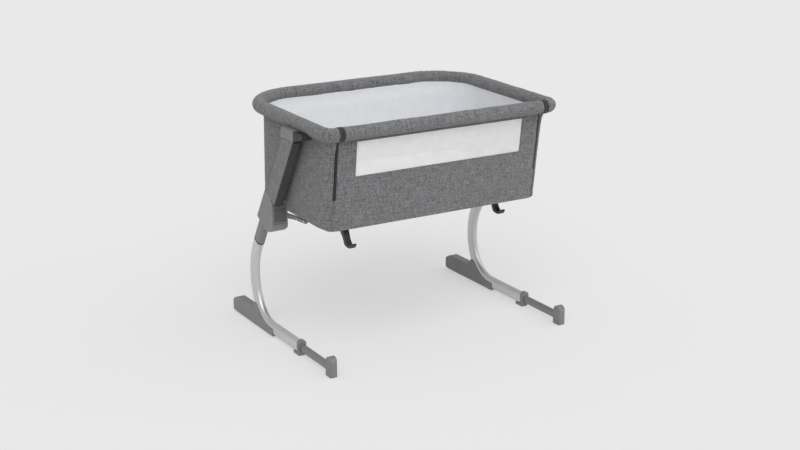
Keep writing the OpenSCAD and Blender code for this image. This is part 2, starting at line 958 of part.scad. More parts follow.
// Frame, floor and mattress
module ring_line(r) {
    rear = rear_r(skirt_bottom) - 20;
    translate([0, 0, ring_z]) {
        translate([0, ring_front, 0])
            rotate([0, 90, 0])
                cylinder(r = r, h = 2 * (ring_x - 60), center = true);
        translate([0, ring_rear, 0])
            rotate([0, 90, 0])
                cylinder(r = r, h = 2 * (ring_x - rear), center = true);
        for (s = [-1, 1]) {
            translate([s * ring_x, ring_front + 60, 0])
                rotate([-90, 0, 0])
                    cylinder(r = r, h = ring_rear - ring_front - 60 - rear);
            translate([s * (ring_x - rear), ring_rear - rear, 0])
                rotate(s > 0 ? 0 : 90)
                    rotate_extrude(angle = 90)
                        translate([rear, 0])
                            circle(r = r);
            translate([s * (ring_x - 60), ring_front + 60, 0])
                rotate(s > 0 ? 270 : 180)
                    rotate_extrude(angle = 90)
                        translate([60, 0])
                            circle(r = r);
        }
    }
}

module lower_frame() {
    color([0.36, 0.36, 0.37])
        difference() {
            ring_line(ring_d / 2);
            ring_line(ring_d / 2 - 1.4);
        }
}

module base_board() {
    color([0.3, 0.3, 0.31])
        translate([0, 0, board_z])
            linear_extrude(board_t)
                wall_plan(board_z, wall_t + 0.4);
}

// Cushion outline point at angle step i, drawn in by d
function cushion_plan(d) =
    let (x = wall_x(mattress_z) - wall_t - liner_t - 2.5 - d)
    let (y0 = wall_front(mattress_z) + wall_t + liner_t + 3 + d)
    let (y1 = wall_rear(mattress_z) - wall_t - liner_t - 2.5 - d, r0 = max(6, 40 - d / 4))
    let (r1 = rear_r(mattress_z) - wall_t - liner_t - 2.5 - d / 4)
    rounded([[-x, y0], [x, y0], [x, y1], [-x, y1]], [r0, r0, r1, r1], 8);
cushion_rings = [[7, 0], [1.5, 3], [0, 9], [2.5, 0.5 * mattress_t], [0, mattress_t - 12], [1.5, mattress_t - 7],
    [8, mattress_t - 3.2], [24, mattress_t - 1.6], [60, mattress_t - 0.6], [130, mattress_t], [200, mattress_t]];

module mattress() {
    rings = [for (r = cushion_rings) [for (p = cushion_plan(r[0])) [p[0], p[1], mattress_z + r[1]]]];
    n = len(rings[0]);
    m = len(rings);
    points = [for (r = rings) each r];
    low = [for (i = [0:n - 1]) i];
    sides = [for (k = [0:m - 2]) for (i = [0:n - 1]) let (j = (i + 1) % n) each [
        [k * n + i, (k + 1) * n + i, (k + 1) * n + j],
        [k * n + i, (k + 1) * n + j, k * n + j]]];
    high = [for (i = [n - 1:-1:0]) (m - 1) * n + i];
    color([0.95, 0.95, 0.94])
        polyhedron(points, concat([low], sides, [high]));
}

// Bed hooks and their rails
module hook_rails() {
    color([0.28, 0.28, 0.29])
        difference() {
            for (s = [-1, 1])
                translate([s * hook_x, (ring_front + ring_rear) / 2, hook_rail_z])
                    cube([hook_w - 4, ring_rear - ring_front - 4, 15], center = true);
            for (s = [-1, 1])
                translate([s * hook_x, -80, hook_rail_z - 1.5])
                    cube([hook_w - 8, 280, 8], center = true);
            for (s = [-1, 1])
                translate([s * hook_x, -80, hook_rail_z - 8])
                    cube([hook_w - 16, 280, 8], center = true);
            ring_line(ring_d / 2 + seat_gap);
        }
}

module hook_at(x, y) {
    neck = hook_w - 16 - 2 * run_gap - 0.4;
    color([0.1, 0.1, 0.11])
        translate([x, y, 0]) {
            translate([0, 62, hook_rail_z - 1.5])
                cube([hook_w - 8 - 2 * run_gap, 62, 8 - 2 * run_gap], center = true);
            translate([0, 62, hook_rail_z - 8])
                cube([neck, 40, 13], center = true);
            profile(hook_w - 8)
                polygon(rounded([
                    [82, hook_rail_z - 10],
                    [43, hook_rail_z - 10],
                    [20, 430],
                    [4, hook_low[1] + 20],
                    [-8, hook_low[1] + 7],
                    [-21, hook_low[1] + 10],
                    [-29, hook_low[1] + 18],
                    [-34, hook_low[1] + 14],
                    [-24, hook_low[1] + 1],
                    [-6, hook_low[1]],
                    [11, hook_low[1] + 4],
                    [22, hook_low[1] + 26],
                    [48, 424],
                    [82, 431]
                ], [2, 2, 12, 14, 7, 6, 2.5, 2.5, 8, 8, 9, 20, 16, 2]));
        }
}

module hook_left() {
    hook_at(-hook_x, hook_low[0] - hook_stagger);
}

module hook_right() {
    hook_at(hook_x, hook_low[0]);
}

// Pivot pins and screws
module lever_pins() {
    color([0.7, 0.7, 0.71])
        for (s = [0, 1])
            side(s == 1)
                translate([0, pivot[0], pivot[1]])
                    rotate([0, -90, 0])
                        translate([0, 0, lever_x1 - 2.5])
                            cylinder(d = pivot_d, h = lever_x0 - lever_x1 + 4.5, $fn = 24);
}

module screw(x, y, z, turn) {
    translate([x, y, z])
        rotate(turn)
            difference() {
                cylinder(d = 9, h = 2.2, $fn = 24);
                translate([0, 0, 1.2])
                    cylinder(d = 4, h = 2, $fn = 24);
            }
}

module frame_screws() {
    color([0.8, 0.8, 0.81])
        for (s = [0, 1])
            side(s == 1) {
                screw(-housing_in - 8.1, -42, 439.3, [0, -90, 0]);
                screw(-housing_in - 8.1, -88, 442, [0, -90, 0]);
                screw(-ring_x - 3, 93, ring_z - 12, [180, 0, 0]);
            }
}

placed() rim_tube();
placed() rim_padding();
placed() rim_bands();
placed() rear_panel();
placed() end_panel();  // end_panel_left
placed() side(true) end_panel();  // end_panel_right
placed() front_skirt();
placed() fold_piping();
placed() basket_liner();
placed() base_board();
placed() lower_frame();
placed() hook_rails();
placed() housing();  // housing_left
placed() side(true) housing();  // housing_right
placed() guide_tube();  // guide_tube_left
placed() side(true) guide_tube();  // guide_tube_right
placed() leg_cover();  // leg_cover_left
placed() side(true) leg_cover();  // leg_cover_right
placed() rim_bracket();  // rim_bracket_left
placed() side(true) rim_bracket();  // rim_bracket_right
placed() zip_tracks();
placed() lever_pins();
placed() frame_screws();
placed() height_lever();  // height_lever_left
placed() side(true) height_lever();  // height_lever_right
placed() lock_bolt();  // lock_bolt_left
placed() side(true) lock_bolt();  // lock_bolt_right
placed() leg_tube();  // leg_tube_left
placed() side(true) leg_tube();  // leg_tube_right
placed() upper_tube();  // upper_tube_left
placed() side(true) upper_tube();  // upper_tube_right
placed() joint_ring();  // joint_ring_left
placed() side(true) joint_ring();  // joint_ring_right
placed() heel();  // heel_left
placed() side(true) heel();  // heel_right
placed() foot_pads();  // foot_pads_left
placed() side(true) foot_pads();  // foot_pads_right
placed() collar();  // collar_left
placed() side(true) collar();  // collar_right
placed() slide_bush();  // slide_bush_left
placed() side(true) slide_bush();  // slide_bush_right
placed() foot_tube();  // foot_tube_left
placed() side(true) foot_tube();  // foot_tube_right
placed() toe();  // toe_left
placed() side(true) toe();  // toe_right
placed() front_rail_tube();
placed() front_padding();
placed() rail_bands();
placed() drop_panel();
placed() window_mesh();
placed() window_hem();
placed() drop_liner();
placed() drop_zip_tracks();
placed() latch_button();  // latch_button_left
placed() side(true) latch_button();  // latch_button_right
placed() zip_slider();  // zip_slider_left
placed() side(true) zip_slider();  // zip_slider_right
placed() hook_left();
placed() hook_right();
placed() mattress();
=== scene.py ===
import math
import bpy
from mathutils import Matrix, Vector, noise


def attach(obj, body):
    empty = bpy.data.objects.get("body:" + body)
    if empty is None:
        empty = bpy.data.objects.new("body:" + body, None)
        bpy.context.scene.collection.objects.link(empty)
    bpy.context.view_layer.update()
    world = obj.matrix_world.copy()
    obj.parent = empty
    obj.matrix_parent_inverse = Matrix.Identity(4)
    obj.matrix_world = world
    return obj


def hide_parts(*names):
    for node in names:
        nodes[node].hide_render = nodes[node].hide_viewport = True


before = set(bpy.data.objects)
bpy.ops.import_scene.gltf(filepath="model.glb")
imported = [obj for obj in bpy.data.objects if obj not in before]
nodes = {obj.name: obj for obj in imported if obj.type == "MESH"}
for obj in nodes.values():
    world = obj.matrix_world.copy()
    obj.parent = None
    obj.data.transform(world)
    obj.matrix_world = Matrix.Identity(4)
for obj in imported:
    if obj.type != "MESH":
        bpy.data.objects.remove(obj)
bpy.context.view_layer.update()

# Values of the CAD source, in millimetres
MM = 0.001
SHIFT = -19.0
PAD_R = 22.0
RAIL_X, RAIL_Y = 424.0, 303.5
RIM_OFF = 27.0
MID_Z = 765.5
TILT = math.atan(5.0 / (2 * RAIL_Y))
REAR_R, FRONT_R = 172.0, 32.0
FRONT_RAIL_Y = RIM_OFF - RAIL_Y * math.cos(TILT)
FRONT_RAIL_Z = MID_Z - RAIL_Y * math.sin(TILT)
SKIRT, WALL_TOP = 439.0, 765.5
WALL_T = 2.5
RAIL_HALF = 384.0
FOLD_Z = 535.0
WIN_X, WIN_LOW, WIN_HIGH = 311.5, 614.0, 729.0
REAR_SPLIT = 220.0
MATTRESS_Z, MATTRESS_T = 474.6, 45.0
LEG_X, LEAN = 445.5, math.radians(31)
MOUTH = (179.05, 314.57)

# Cloth, in millimetres: walls end WALL_DROP under the rim's centre line, drawn out to WALL_REACH inside it
WALL_DROP = 15.0
WALL_REACH, LINING_REACH = 15.5, 17.5
WALL_CLOTH, LINING_CLOTH = 1.6, 1.0
LINING_IN = 3.8
LINING_LOW, LINING_TOP = 475.5, 756.0
DROP_HALF = RAIL_HALF - 2
BAND_R = 23.45
SLEEVE_LEN, SLEEVE_TOP = 260.0, 715.0


# Fabric wall of the basket at a height, as in the source
def mix(z):
    return (z - SKIRT) / (WALL_TOP - SKIRT)


def wall_x(z):
    return 410 + 3 * mix(z)


def wall_front(z):
    return -224.5 - 39.5 * mix(z)


def wall_rear(z):
    return 282.5 + 33.5 * mix(z)


def front_r(z):
    return 50 - 2 * mix(z)


def rear_r(z):
    return 112 + 61 * mix(z)


def rim_z(y):
    return MID_Z + (y - RIM_OFF) * math.tan(TILT)


def wobble(x, y, z, size, seed=0.0):
    return noise.noise(Vector((x / size + seed, y / size - seed, z / size + 2 * seed)))


def ease(a, b, x):
    t = max(0.0, min(1.0, (x - a) / (b - a)))
    return t * t * (3 - 2 * t)


# Materials
class Mat:
    def __init__(self, name, rough=0.5, metal=0.0, spec=0.5, sheen=0.0, sheen_rough=0.5):
        self.m = bpy.data.materials.new(name)
        self.m.use_nodes = True
        self.t = self.m.node_tree
        self.t.nodes.clear()
        self.out = self.t.nodes.new("ShaderNodeOutputMaterial")
        self.b = self.t.nodes.new("ShaderNodeBsdfPrincipled")
        self.t.links.new(self.b.outputs["BSDF"], self.out.inputs["Surface"])
        s = self.b.inputs
        s["Roughness"].default_value = rough
        s["Metallic"].default_value = metal
        s["Specular IOR Level"].default_value = spec
        s["Sheen Weight"].default_value = sheen
        s["Sheen Roughness"].default_value = sheen_rough

    def node(self, kind, inputs=None, **props):
        n = self.t.nodes.new("ShaderNode" + kind)
        for k, v in props.items():
            setattr(n, k, v)
        for k, v in (inputs or {}).items():
            self.put(n.inputs[k], v)
        return n

    def put(self, socket, v):
        if isinstance(v, bpy.types.NodeSocket):
            self.t.links.new(v, socket)
        else:
            socket.default_value = v

    def coords(self, kind="UV", scale=(1, 1, 1)):
        c = self.node("TexCoord")
        return self.node("Mapping", {"Vector": c.outputs[kind], "Scale": scale}).outputs["Vector"]

    def noise(self, where, detail=2.0, rough=0.5):
        n = self.node("TexNoise", {"Vector": where, "Scale": 1.0, "Detail": detail, "Roughness": rough})
        return n.outputs["Fac"]

    def ramp(self, fac, stops):
        r = self.node("ValToRGB", {"Fac": fac})
        e = r.color_ramp
        while len(e.elements) < len(stops):
            e.elements.new(0.5)
        for el, (pos, col) in zip(e.elements, stops):
            el.position = pos
            el.color = (*col, 1) if hasattr(col, "__len__") else (col, col, col, 1)
        return r.outputs["Color"]

    def math(self, op, a, b=0.0, clamp=False):
        n = self.node("Math", operation=op, use_clamp=clamp)
        self.put(n.inputs[0], a)
        self.put(n.inputs[1], b)
        return n.outputs[0]

    def blend(self, fac, a, b):
        n = self.node("Mix", data_type="RGBA")
        self.put(n.inputs["Factor"], fac)
        self.put(n.inputs["A"], a if isinstance(a, bpy.types.NodeSocket) else (*a, 1))
        self.put(n.inputs["B"], b if isinstance(b, bpy.types.NodeSocket) else (*b, 1))
        return n.outputs["Result"]

    def bump(self, height, distance, strength):
        n = self.node("Bump", {"Height": height, "Distance": distance, "Strength": strength})
        return n.outputs["Normal"]

    def wave(self, where, scale, bend, way):
        n = self.node("TexWave", {"Vector": where, "Scale": scale, "Distortion": bend, "Detail": 1.0},
                      wave_type="BANDS", bands_direction=way)
        return n.outputs["Fac"]


def heather(name, dark, light):
    """Heathered linen-look weave: short slubs along both threads over a fine plain weave."""
    m = Mat(name, rough=0.92, spec=0.2, sheen=0.25, sheen_rough=0.6)
    parts = [(0.26, (95, 520, 95)), (0.26, (520, 95, 520)), (0.19, (22, 260, 22)), (0.19, (260, 22, 260)),
             (0.10, (240, 240, 240))]
    s = 0.0
    for share, scale in parts:
        s = m.math("ADD", m.math("MULTIPLY", m.noise(m.coords("UV", scale), 3.0, 0.7), share), s)
    mean = [(p + q) / 2 for p, q in zip(dark, light)]
    col = m.ramp(s, [(0.43, dark), (0.5, mean), (0.57, light)])
    m.put(m.b.inputs["Base Color"], col)
    warp = m.wave(m.coords(), 380.0, 1.5, "X")
    weft = m.wave(m.coords(), 380.0, 1.5, "Y")
    h = m.math("ADD", m.math("MULTIPLY", warp, weft), m.math("MULTIPLY", s, 1.2))
    m.put(m.b.inputs["Normal"], m.bump(h, 0.0006, 0.8))
    return m.m


def lining(name, low, high, kind="UV"):
    """Smooth tightly woven cloth with a fine grain."""
    m = Mat(name, rough=0.8, spec=0.25, sheen=0.15, sheen_rough=0.5)
    a = m.noise(m.coords(kind, (40, 40, 40)), 3.0, 0.6)
    m.put(m.b.inputs["Base Color"], m.ramp(a, [(0.3, low), (0.7, high)]))
    w = m.wave(m.coords(kind), 500.0, 0.8, "DIAGONAL")
    h = m.math("ADD", m.math("MULTIPLY", w, 0.5), a)
    m.put(m.b.inputs["Normal"], m.bump(h, 0.0004, 0.5))
    return m.m


def webbing(name, low, high):
    """Ribbed woven tape."""
    m = Mat(name, rough=0.75, spec=0.3, sheen=0.2, sheen_rough=0.5)
    rib = m.wave(m.coords(), 260.0, 0.3, "Y")
    n = m.noise(m.coords("UV", (500, 500, 500)), 2.0, 0.5)
    f = m.math("ADD", m.math("MULTIPLY", rib, 0.7), m.math("MULTIPLY", n, 0.3))
    m.put(m.b.inputs["Base Color"], m.ramp(f, [(0.2, low), (0.8, high)]))
    m.put(m.b.inputs["Normal"], m.bump(f, 0.0004, 0.9))
    return m.m


def plastic(name, low, high, rough=0.42, grain=1100.0, depth=0.00012):
    """Moulded plastic with a fine spark-eroded texture, faint flow marks and duller handled spots."""
    m = Mat(name, rough=rough, spec=0.45)
    big = m.noise(m.coords("Object", (22, 22, 22)), 3.0, 0.55)
    fine = m.noise(m.coords("Object", (grain, grain, grain)), 2.0, 0.5)
    m.put(m.b.inputs["Base Color"], m.ramp(big, [(0.3, low), (0.7, high)]))
    r = m.math("ADD", m.math("MULTIPLY", big, 0.14), rough - 0.07)
    m.put(m.b.inputs["Roughness"], r)
    m.put(m.b.inputs["Normal"], m.bump(fine, depth, 0.6))
    return m.m


def grey_with_painted_shade(name, y_split):
    """Grey bracket whose part in front of y_split is painted black as shade, the shade in the opening between
    the sleeve's top and the rim padding.
    """
    m = Mat(name, rough=0.45, spec=0.4)
    y = m.node("SeparateXYZ", {"Vector": m.node("TexCoord").outputs["Object"]}).outputs["Y"]
    # Painted shade: everything in front of y_split is black
    shade_mask = m.math("LESS_THAN", y, y_split)
    big = m.noise(m.coords("Object", (22, 22, 22)), 3.0, 0.55)
    grey = m.ramp(big, [(0.3, (0.185, 0.185, 0.188)), (0.7, (0.225, 0.225, 0.229))])
    black = m.ramp(big, [(0.3, (0.012, 0.012, 0.013)), (0.7, (0.028, 0.028, 0.03))])
    m.put(m.b.inputs["Base Color"], m.blend(shade_mask, grey, black))
    fine = m.noise(m.coords("Object", (1100, 1100, 1100)), 2.0, 0.5)
    m.put(m.b.inputs["Normal"], m.bump(fine, 0.00012, 0.6))
    return m.m


def tube_metal(name, low, high, rough, stretch=(900, 40, 40), metal=1.0):
    """Drawn tube: fine lengthwise draw marks under a satin finish."""
    m = Mat(name, rough=rough, metal=metal, spec=0.5)
    lines = m.noise(m.coords("Object", stretch), 3.0, 0.6)
    big = m.noise(m.coords("Object", (9, 9, 9)), 2.0, 0.5)
    f = m.math("ADD", m.math("MULTIPLY", lines, 0.6), m.math("MULTIPLY", big, 0.4))
    m.put(m.b.inputs["Base Color"], m.ramp(f, [(0.3, low), (0.7, high)]))
    m.put(m.b.inputs["Roughness"], m.math("ADD", m.math("MULTIPLY", lines, 0.16), rough - 0.08))
    m.put(m.b.inputs["Normal"], m.bump(lines, 0.00004, 0.6))
    return m.m


def net(name):
    """Fine knitted net: hexagonal holes between soft white threads."""
    m = Mat(name, rough=0.85, spec=0.2, sheen=0.2)
    pitch = 0.0021
    k = 2 * math.pi / pitch
    c = m.node("TexCoord").outputs["UV"]
    xyz = m.node("SeparateXYZ", {"Vector": c})
    x, y = xyz.outputs["X"], xyz.outputs["Y"]
    waves = []
    for a in (0.0, math.pi / 3, 2 * math.pi / 3):
        d = m.math("ADD", m.math("MULTIPLY", x, k * math.cos(a)), m.math("MULTIPLY", y, k * math.sin(a)))
        waves.append(m.math("COSINE", d))
    f = m.math("ADD", m.math("ADD", waves[0], waves[1]), waves[2])
    hole = m.math("MULTIPLY", m.math("SUBTRACT", f, 0.7), 2.5, clamp=True)
    tone = m.noise(m.coords("UV", (30, 30, 30)), 2.0, 0.5)
    m.put(m.b.inputs["Base Color"], m.ramp(tone, [(0.3, (0.78, 0.78, 0.77)), (0.7, (0.84, 0.84, 0.83))]))
    m.put(m.b.inputs["Alpha"], m.math("SUBTRACT", 1.0, m.math("MULTIPLY", hole, 0.75)))
    m.put(m.b.inputs["Normal"], m.bump(m.math("MULTIPLY", f, -0.3), 0.0003, 0.7))
    return m.m


grey_weave = heather("grey_weave", (0.050, 0.050, 0.053), (0.305, 0.305, 0.315))
grey_weave_pale = heather("grey_weave_pale", (0.075, 0.075, 0.078), (0.31, 0.31, 0.315))
white_lining = lining("white_lining", (0.73, 0.745, 0.77), (0.77, 0.785, 0.81))
white_quilt = lining("white_quilt", (0.77, 0.775, 0.78), (0.81, 0.815, 0.82), "Object")
# Painted shade: near-black weave standing in for the shade on the leg sleeves' front flaps
painted_shade_weave = heather("painted_shade_weave", (0.006, 0.006, 0.007), (0.050, 0.050, 0.055))
dark_web = webbing("dark_web", (0.010, 0.010, 0.012), (0.045, 0.045, 0.05))
thread = lining("thread", (0.17, 0.17, 0.175), (0.24, 0.24, 0.245), "Object")
net_white = net("net_white")
grey_plastic = plastic("grey_plastic", (0.180, 0.180, 0.183), (0.220, 0.220, 0.223))
lever_plastic = plastic("lever_plastic", (0.125, 0.125, 0.128), (0.16, 0.16, 0.162), 0.38)
black_plastic = plastic("black_plastic", (0.012, 0.012, 0.013), (0.028, 0.028, 0.03), 0.4)
zip_plastic = plastic("zip_plastic", (0.02, 0.02, 0.022), (0.05, 0.05, 0.055), 0.35)
# The rim bracket's front part is painted black as shade
bracket_plastic = grey_with_painted_shade("bracket_plastic", -0.139)
rubber = plastic("rubber", (0.02, 0.02, 0.02), (0.035, 0.035, 0.035), 0.75, 700.0, 0.0002)
board = plastic("board", (0.10, 0.10, 0.10), (0.16, 0.16, 0.16), 0.7, 300.0, 0.0003)
aluminium = tube_metal("aluminium", (0.56, 0.56, 0.57), (0.68, 0.68, 0.69), 0.40, metal=0.8)
coated_tube = tube_metal("coated_tube", (0.20, 0.20, 0.202), (0.245, 0.245, 0.248), 0.42, (300, 120, 120),
                         0.35)
frame_paint = tube_metal("frame_paint", (0.075, 0.075, 0.077), (0.10, 0.10, 0.102), 0.45, (200, 200, 200),
                         0.1)
zinc = tube_metal("zinc", (0.22, 0.22, 0.22), (0.30, 0.30, 0.30), 0.4, (200, 200, 200), 0.7)
steel = tube_metal("steel", (0.55, 0.55, 0.55), (0.66, 0.66, 0.66), 0.3, (200, 200, 200))

# Finishes of the rigid nodes that stay
BY_NAME = {
    "rim_tube": frame_paint, "front_rail_tube": frame_paint, "lower_frame": frame_paint,
    "guide_tube": frame_paint, "base_board": board, "hook_rails": black_plastic,
    "housing": grey_plastic, "heel": grey_plastic, "collar": grey_plastic, "toe": grey_plastic,
    "height_lever": lever_plastic, "lock_bolt": steel, "lever_pins": steel, "frame_screws": steel,
    "leg_tube": aluminium, "upper_tube": coated_tube, "foot_tube": coated_tube,
    "joint_ring": black_plastic, "foot_pads": rubber, "slide_bush": black_plastic,
    "rim_bracket": bracket_plastic, "latch_button": lever_plastic, "zip_slider": zinc,
    "hook": black_plastic,
}


def base_name(name):
    """A node's name without its side."""
    return name.removesuffix("_left").removesuffix("_right")


for name, o in nodes.items():
    base = base_name(name)
    if base in BY_NAME:
        o.data.materials.clear()
        o.data.materials.append(BY_NAME[base])


# Meshes
def make(name, verts, faces, mats, uvs=None, body=None, face_mats=None, smooth=True):
    """Object from points in the source's millimetres, moved into the frame."""
    me = bpy.data.meshes.new(name)
    me.from_pydata([(v[0] * MM, (v[1] + SHIFT) * MM, v[2] * MM) for v in verts], [], faces)
    if uvs is not None:
        layer = me.uv_layers.new(name="UVMap")
        for lp in me.loops:
            u = uvs[lp.vertex_index]
            layer.data[lp.index].uv = (u[0] * MM, u[1] * MM)
    for mt in (mats if isinstance(mats, (list, tuple)) else [mats]):
        me.materials.append(mt)
    if face_mats:
        for p, i in zip(me.polygons, face_mats):
            p.material_index = i
    for p in me.polygons:
        p.use_smooth = smooth
    me.update()
    o = bpy.data.objects.new(name, me)
    bpy.context.scene.collection.objects.link(o)
    if body:
        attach(o, body)
    return o


def quads(rows, n, base=0, closed=True, skip=None):
    """Quads between rows of n points, from the point at base. skip(i, j) leaves a cell out."""
    out = []
    for i in range(rows - 1):
        a, b = base + i * n, base + (i + 1) * n
        for j in range(n if closed else n - 1):
            k = (j + 1) % n
            if not (skip and skip(i, j)):
                out.append((a + j, a + k, b + k, b + j))
    return out


def grid(name, rows, uvs, mats, body, thick=0.0, closed=False, skip=None, out=1.0):
    """Cloth over rows of points. thick is in millimetres and goes inwards."""
    faces = quads(len(rows), len(rows[0]), 0, closed, skip)
    o = make(name, [p for r in rows for p in r], faces, mats, [p for r in uvs for p in r])
    if thick:
        s = o.modifiers.new("thick", "SOLIDIFY")
        s.thickness = thick * MM
        s.offset = -1.0 * out
        s.use_even_offset = False
    if body:
        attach(o, body)
    return o


def rows_at(xs, zs, at):
    """Rows of at(x, z), with x and z as the weave's coordinates."""
    return [[at(x, z) for x in xs] for z in zs], [[(x, z) for x in xs] for z in zs]


def tube_along(name, path, radius, mats, body, sides=28, caps=True):
    """path is a list of (point, right, up); radius(i, angle) gives the section. Faces point outwards."""
    verts, uvs = [], []
    along = 0.0
    for i, (p, r, u) in enumerate(path):
        if i:
            along += (p - path[i - 1][0]).length
        for j in range(sides):
            a = 2 * math.pi * j / sides
            d = radius(i, a)
            verts.append(p + r * (d * math.cos(a)) + u * (d * math.sin(a)))
            uvs.append((along, a * 24))
    n = len(path)
    faces = quads(n, sides)
    if caps:
        faces.append(tuple(reversed(range(sides))))
        faces.append(tuple((n - 1) * sides + j for j in range(sides)))
    start, right, up = path[0]
    if right.cross(up).dot(path[1][0] - start) < 0:
        faces = [tuple(reversed(f)) for f in faces]
    return make(name, verts, faces, mats, uvs, body)


def stitches(name, lines, mat, body, length=3.2, gap=1.6, width=0.7, high=0.45):
    """Sewn thread: short rounded dashes along lines of (point, outward normal)."""
    verts, faces = [], []
    for line in lines:
        left = gap / 2
        for (p, n), (q, _) in zip(line, line[1:]):
            seg = q - p
            total = seg.length
            if total < 1e-6:
                continue
            d = seg / total
            side = d.cross(n).normalized() * (width / 2)
            at = left
            while at + length < total:
                a, b = p + d * at, p + d * (at + length)
                lift = n * high
                base = len(verts)
                verts += [a - side, a + side, b + side, b - side,
                          a - side * 0.6 + d * 0.5 + lift, a + side * 0.6 + d * 0.5 + lift,
                          b + side * 0.6 - d * 0.5 + lift, b - side * 0.6 - d * 0.5 + lift]
                for f in ((0, 1, 5, 4), (1, 2, 6, 5), (2, 3, 7, 6), (3, 0, 4, 7), (4, 5, 6, 7)):
                    faces.append(tuple(base + t for t in f))
                at += length + gap
            left = max(0.0, at - total)
    return make(name, verts, faces, mat, None, body, smooth=False)


# Points of the wall's plan: where along the perimeter, at a height, inset by m
def plan(seg, t, z, m=0.0, sgn=-1):
    """Left half of the wall for sgn -1: 0 front, 1 front corner, 2 side, 3 rear corner, 4 rear."""
    x, y0, y1 = wall_x(z), wall_front(z), wall_rear(z)
    fr, rr = front_r(z), rear_r(z)
    if seg == 0:
        px, py, nx, ny = t, y0 + m, 0.0, -1.0
    elif seg == 1:
        a = math.radians(90 * t)
        nx, ny = math.sin(a), -math.cos(a)
        px, py = x - fr + (fr - m) * nx, y0 + fr + (fr - m) * ny
    elif seg == 2:
        nx, ny = 1.0, 0.0
        px, py = x - m, y0 + fr + (y1 - rr - y0 - fr) * t
    elif seg == 3:
        a = math.radians(90 * t)
        nx, ny = math.cos(a), math.sin(a)
        px, py = x - rr + (rr - m) * nx, y1 - rr + (rr - m) * ny
    else:
        px, py, nx, ny = t, y1 - m, 0.0, 1.0
    return Vector((sgn * px, py, z)), Vector((sgn * nx, ny, 0.0))


def front_at(x, z, m=0.0):
    """A point of the front wall at a given x, also on its rounded ends."""
    s = -1 if x < 0 else 1
    ax = abs(x)
    fr = front_r(z)
    edge = wall_x(z) - fr
    if ax <= edge:
        return Vector((x, wall_front(z) + m, z)), Vector((0, -1, 0))
    a = math.asin(min(1.0, (ax - edge) / (fr - m)))
    return plan(1, math.degrees(a) / 90, z, m, s)


def front_corner_t(x, z):
    """Share of the front corner at which the wall passes x."""
    fr = front_r(z)
    return math.degrees(math.asin(max(0.0, min(1.0, (x - (wall_x(z) - fr)) / fr)))) / 90


def rim_gap(x, y):
    """Distance inwards from the rim's centre line in plan, and the way out towards it."""
    ax, s = abs(x), (-1 if x < 0 else 1)
    v = y - RIM_OFF
    if v > RAIL_Y - REAR_R and ax > RAIL_X - REAR_R:
        cx, cy, r = RAIL_X - REAR_R, RAIL_Y - REAR_R, REAR_R
    elif v < -RAIL_Y + FRONT_R and ax > RAIL_X - FRONT_R:
        cx, cy, r = RAIL_X - FRONT_R, -RAIL_Y + FRONT_R, FRONT_R
    else:
        d = [(RAIL_X - ax, (s, 0)), (RAIL_Y - v, (0, 1)), (RAIL_Y + v, (0, -1))]
        gap, way = min(d)
        return gap, Vector((way[0], way[1], 0))
    w = Vector((ax - cx, v - cy, 0))
    ln = w.length or 1.0
    return r - ln, Vector((s * w.x / ln, w.y / ln, 0))


def flare(p, z, reach):
    """Draws the upper edge of a wall outwards until it is reach inside the rim's centre line."""
    gap, way = rim_gap(p.x, p.y)
    if gap <= reach:
        return p
    return p + way * ((gap - reach) * ease(705, 750, z))


def arch(y):
    """Lower edge of the end panel."""
    pts = [(-400, SKIRT), (-222, SKIRT), (-212, 441), (-200, 446), (-185, 447.6), (-120, 449),
           (34, 450.2), (38, 466), (130, 466), (134, 450), (142, 449.3), (157, 446), (172, 441),
           (178, SKIRT), (500, SKIRT)]
    for (a, p), (b, q) in zip(pts, pts[1:]):
        if a <= y <= b:
            return p + (q - p) * (y - a) / (b - a)
    return SKIRT


def wall_rows():
    """Shares of the height, closer together at the hem and the upper edge."""
    low = [0.0, 0.003, 0.010, 0.020, 0.032, 0.0365, 0.041, 0.052, 0.075]
    return low + [0.075 + (1 - 0.075) * i / 30 for i in range(1, 30)] + [0.99, 0.998, 1.0]


def hem_shift(h):
    """Outward shift of a turned and stitched hem, h above the edge."""
    roll = 0.9 * math.exp(-((h - 2.0) / 2.2) ** 2)
    body = 0.5 * (1 - ease(9.0, 11.0, h))
    groove = -0.9 * math.exp(-((h - 11.5) / 1.1) ** 2)
    return roll + body + groove


def creases(x, y, z, seed=0.0):
    """Broad soft unevenness of a hung fabric wall."""
    return 1.5 * wobble(x, y, z * 0.6, 70, seed) + 0.6 * wobble(x, y, z, 22, seed + 3)


